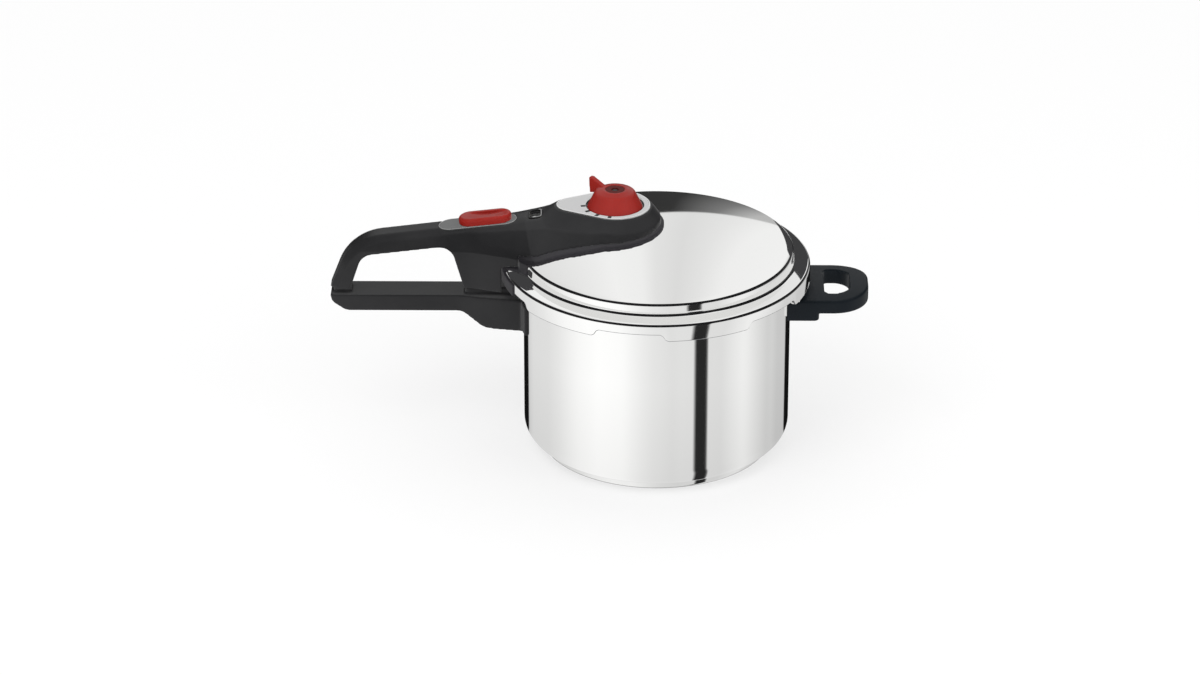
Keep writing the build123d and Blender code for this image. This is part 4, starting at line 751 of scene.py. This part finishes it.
def bead(name, path, width, height, place, closed=True):
    """Thin raised line along a plan path in millimetres, on the plane that a matrix places."""
    bm = bmesh.new()
    path = [Vector(point) for point in path]
    count = len(path)
    loops = []
    for i, point in enumerate(path):
        before = path[i - 1] if closed or i else point
        after = path[(i + 1) % count] if closed or i < count - 1 else point
        along = (after - before).normalized()
        out = Vector((along.y, -along.x)) * width / 2
        section = [(-1.0, 0.0), (-0.7, height), (0.7, height), (1.0, 0.0)]
        corners = [(point.x + out.x * k, point.y + out.y * k, z) for k, z in section]
        loops.append([bm.verts.new(place @ Vector(corner)) for corner in corners])
    for i in range(count if closed else count - 1):
        a, b = loops[i], loops[(i + 1) % count]
        for k in range(4):
            n = (k + 1) % 4
            bm.faces.new((a[k], b[k], b[n], a[n]))
    if not closed:
        bm.faces.new(loops[0])
        bm.faces.new(reversed(loops[-1]))
    return finish_mesh(name, bm)


def slope_place(x, z, slope, lift):
    """Plane in millimetres that rises towards the vent at this slope, lifted off it by a distance."""
    tilt = Matrix.Rotation(-math.radians(slope), 4, "Y")
    return Matrix.Translation((x, 0, z)) @ tilt @ Matrix.Translation((0, 0, lift))


def arc(x, y, radius, first, last, steps=24):
    angles = [math.radians(first + (last - first) * i / steps) for i in range(steps + 1)]
    return [(x + radius * math.cos(a), y + radius * math.sin(a)) for a in angles]


red_plastic = moulding(
    "red_plastic", (0.25, 0.010, 0.006), (0.30, 0.014, 0.009), roughness=0.34, spread=0.08,
    grain_scale=700.0, bump=0.08, coat=0.12, shine=0.22,
)
button = softened("button_moulded", "opening_button", rounding=0.0005)
dress(button, red_plastic, "button", "opening_button")
guide_plastic = moulding(
    "guide_plastic", (0.040, 0.042, 0.042), (0.052, 0.054, 0.054), roughness=0.24, spread=0.1, coat=0.3
)
repaint(guide_plastic, "button_guide")
# pale plastic for thin lines that are painted highlights on dark edges
pale_plastic = moulding("pale_plastic", (0.30, 0.30, 0.30), (0.36, 0.36, 0.36), roughness=0.4, spread=0.1)
guide_path = arc(GUIDE_HALF_LENGTH, 0, GUIDE_HALF_WIDTH, -90, 90)
guide_path += arc(-GUIDE_HALF_LENGTH, 0, GUIDE_HALF_WIDTH, 90, 270)
guide_highlight = bead("guide_highlight", guide_path, 0.45, 0.25, slope_place(GUIDE_X, GUIDE_Z, GUIDE_SLOPE, -GUIDE_SINK))
dress(guide_highlight, pale_plastic, "lid")
repaint(satin_steel, "lock_slide", "button_screw", "button_spring")

# ---------------------------------------------------------------- pressure indicator
# A dark frame in the handle shows the tip of a steel pin that pressure lifts through a brass bush in the lid.
# A nut holds the bush, a small silicone ring seals the pin, and a pale line along the frame's end and near
# side is a painted highlight on its edge.
WINDOW_X, WINDOW_Z, WINDOW_SLOPE, WINDOW_LIFT = -101.0, 205.3, 9.5, 0.25
WINDOW_END, WINDOW_HALF_WIDTH, WINDOW_CORNER = 5.2, 7.2, 2.2
glossy_black = moulding(
    "glossy_black", (0.006, 0.006, 0.006), (0.009, 0.009, 0.009), roughness=0.4, spread=0.06, shine=0.15
)
repaint(glossy_black, "window_frame")
corner_x, corner_y = WINDOW_END - WINDOW_CORNER, WINDOW_HALF_WIDTH - WINDOW_CORNER
window_path = arc(corner_x, corner_y, WINDOW_CORNER, 90, 0, 8)
window_path += arc(corner_x, -corner_y, WINDOW_CORNER, 0, -90, 8) + [(-1.0, -WINDOW_HALF_WIDTH)]
window_place = slope_place(WINDOW_X, WINDOW_Z, WINDOW_SLOPE, WINDOW_LIFT)
# painted highlight along the frame's end and near side
window_highlight = bead("window_highlight", window_path, 0.6, 0.25, window_place, closed=False)
dress(window_highlight, pale_plastic, "lid")
turned_brass = metal(
    "turned_brass", (0.72, 0.56, 0.30), roughness=0.22, spread=0.15, ring_scale=2000.0, bump=0.1
)
repaint(turned_brass, "indicator_bush", "indicator_nut")
repaint(satin_steel, "indicator_pin")
repaint(silicone, "indicator_seal")

# ---------------------------------------------------------------- selector
# A red knob with a pointer fin turns on the vent tube, over a thin satin plate. A bright rolled edge runs
# round the plate, and printed black marks on it show the settings.
PLATE_TOP, VENT_X, PLATE_RADIUS, NOSE_X, NOSE_RADIUS = 214.0, -35.0, 29.2, -69.4, 14.0
EDGE_WIDTH, EDGE_INSET, EDGE_HEIGHT = 1.0, 0.6, 0.16
knob = softened("knob_moulded", "selector_knob", rounding=0.00045)
dress(knob, red_plastic, "selector", "selector_knob")
repaint(dark_plastic, "selector_core")
plate_metal = metal(
    "plate_metal", (0.72, 0.72, 0.72), roughness=0.30, spread=0.15, ring_scale=600.0, bump=0.05
)
repaint(plate_metal, "selector_plate")
flank = math.degrees(math.acos((PLATE_RADIUS - NOSE_RADIUS) / (VENT_X - NOSE_X)))
edge_path = arc(VENT_X, 0, PLATE_RADIUS - EDGE_INSET, flank - 180, 180 - flank, 60)
edge_path += arc(NOSE_X, 0, NOSE_RADIUS - EDGE_INSET, 180 - flank, 180 + flank, 24)
bright_edge = metal(
    "bright_edge", (0.93, 0.93, 0.93), roughness=0.22, spread=0.1, ring_scale=600.0, bump=0.05
)
plate_edge = bead("plate_edge", edge_path, EDGE_WIDTH, EDGE_HEIGHT, Matrix.Translation((0, 0, PLATE_TOP)))
dress(plate_edge, bright_edge, "lid")


def tick_marks(nodes, given):
    size = nodes.joined(given["Length"], given["Width"], given["Thickness"])
    return round_row(nodes, given, nodes.add("GeometryNodeMeshCube", inputs={"Size": size}).outputs[0])


print_black = moulding(
    "print_black", (0.010, 0.010, 0.010), (0.016, 0.016, 0.016), roughness=0.5, spread=0.1, shine=0.3
)
mark_sizes = {
    "Count": 4, "Radius": 0.0264, "Middle X": VENT_X / 1000, "Height": PLATE_TOP / 1000,
    "Start": math.radians(-172.5), "Step": math.radians(24.4), "Length": 0.0040, "Width": 0.0030,
    "Thickness": 0.00024,
}
marks = grown("setting_marks", mark_sizes, print_black, tick_marks)
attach(marks, "lid")

# ---------------------------------------------------------------- vent tube and pressure regulator
# A turned brass tube passes through the lid with a seal under it, and its nut holds the handle down. On its
# top a needle is pressed shut by a spring under a cap in the knob; the needle is painted near black and the
# cap dark red, as painted shade in the knob's hole.
repaint(turned_brass, "vent_tube", "vent_nut")
repaint(silicone, "vent_seal")
# needle painted near black: painted shade in the knob's hole
needle_shade_steel = metal(
    "needle_shade_steel", (0.055, 0.045, 0.045), roughness=0.4, spread=0.2, ring_scale=1500.0, bump=0.1
)
repaint(needle_shade_steel, "regulator_needle")
# cap painted dark red: painted shade on the hole's red wall
cap_shade_red = moulding(
    "cap_shade_red", (0.070, 0.006, 0.005), (0.095, 0.008, 0.006), roughness=0.5, spread=0.1, shine=0.15
)
repaint(cap_shade_red, "regulator_cap")
repaint(satin_steel, "regulator_spring")

# ---------------------------------------------------------------- safety valve
# A second valve under the handle: a brass body held through the lid by a nut, with a steel plunger that a
# spring under a brass cap keeps shut.
repaint(turned_brass, "safety_valve_body", "safety_valve_nut", "safety_cap")
repaint(satin_steel, "safety_plunger", "safety_spring")

# ---------------------------------------------------------------- what the steel mirrors
# The polished lid mirrors the bare room: the pieces that stand on it or beside it are left out of mirrored
# rays, so that its bright fields stay clean.
dressed_over_lid = [
    lid_handle, underplate, button, knob, pot_handle, helper_handle, plate_edge, marks, guide_highlight,
    window_highlight,
]
nodes_over_lid = (
    "selector_plate", "selector_core", "regulator_cap", "regulator_needle", "regulator_spring", "vent_tube",
    "vent_nut", "window_frame", "button_guide", "lock_slide", "button_screw", "button_spring",
    "underplate_screws", "indicator_pin", "indicator_bush", "indicator_nut", "safety_cap",
    "safety_valve_body", "safety_plunger", "safety_spring", "pot_handle_screw",
)
for piece in dressed_over_lid + [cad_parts[node] for node in nodes_over_lid]:
    piece.visible_glossy = False
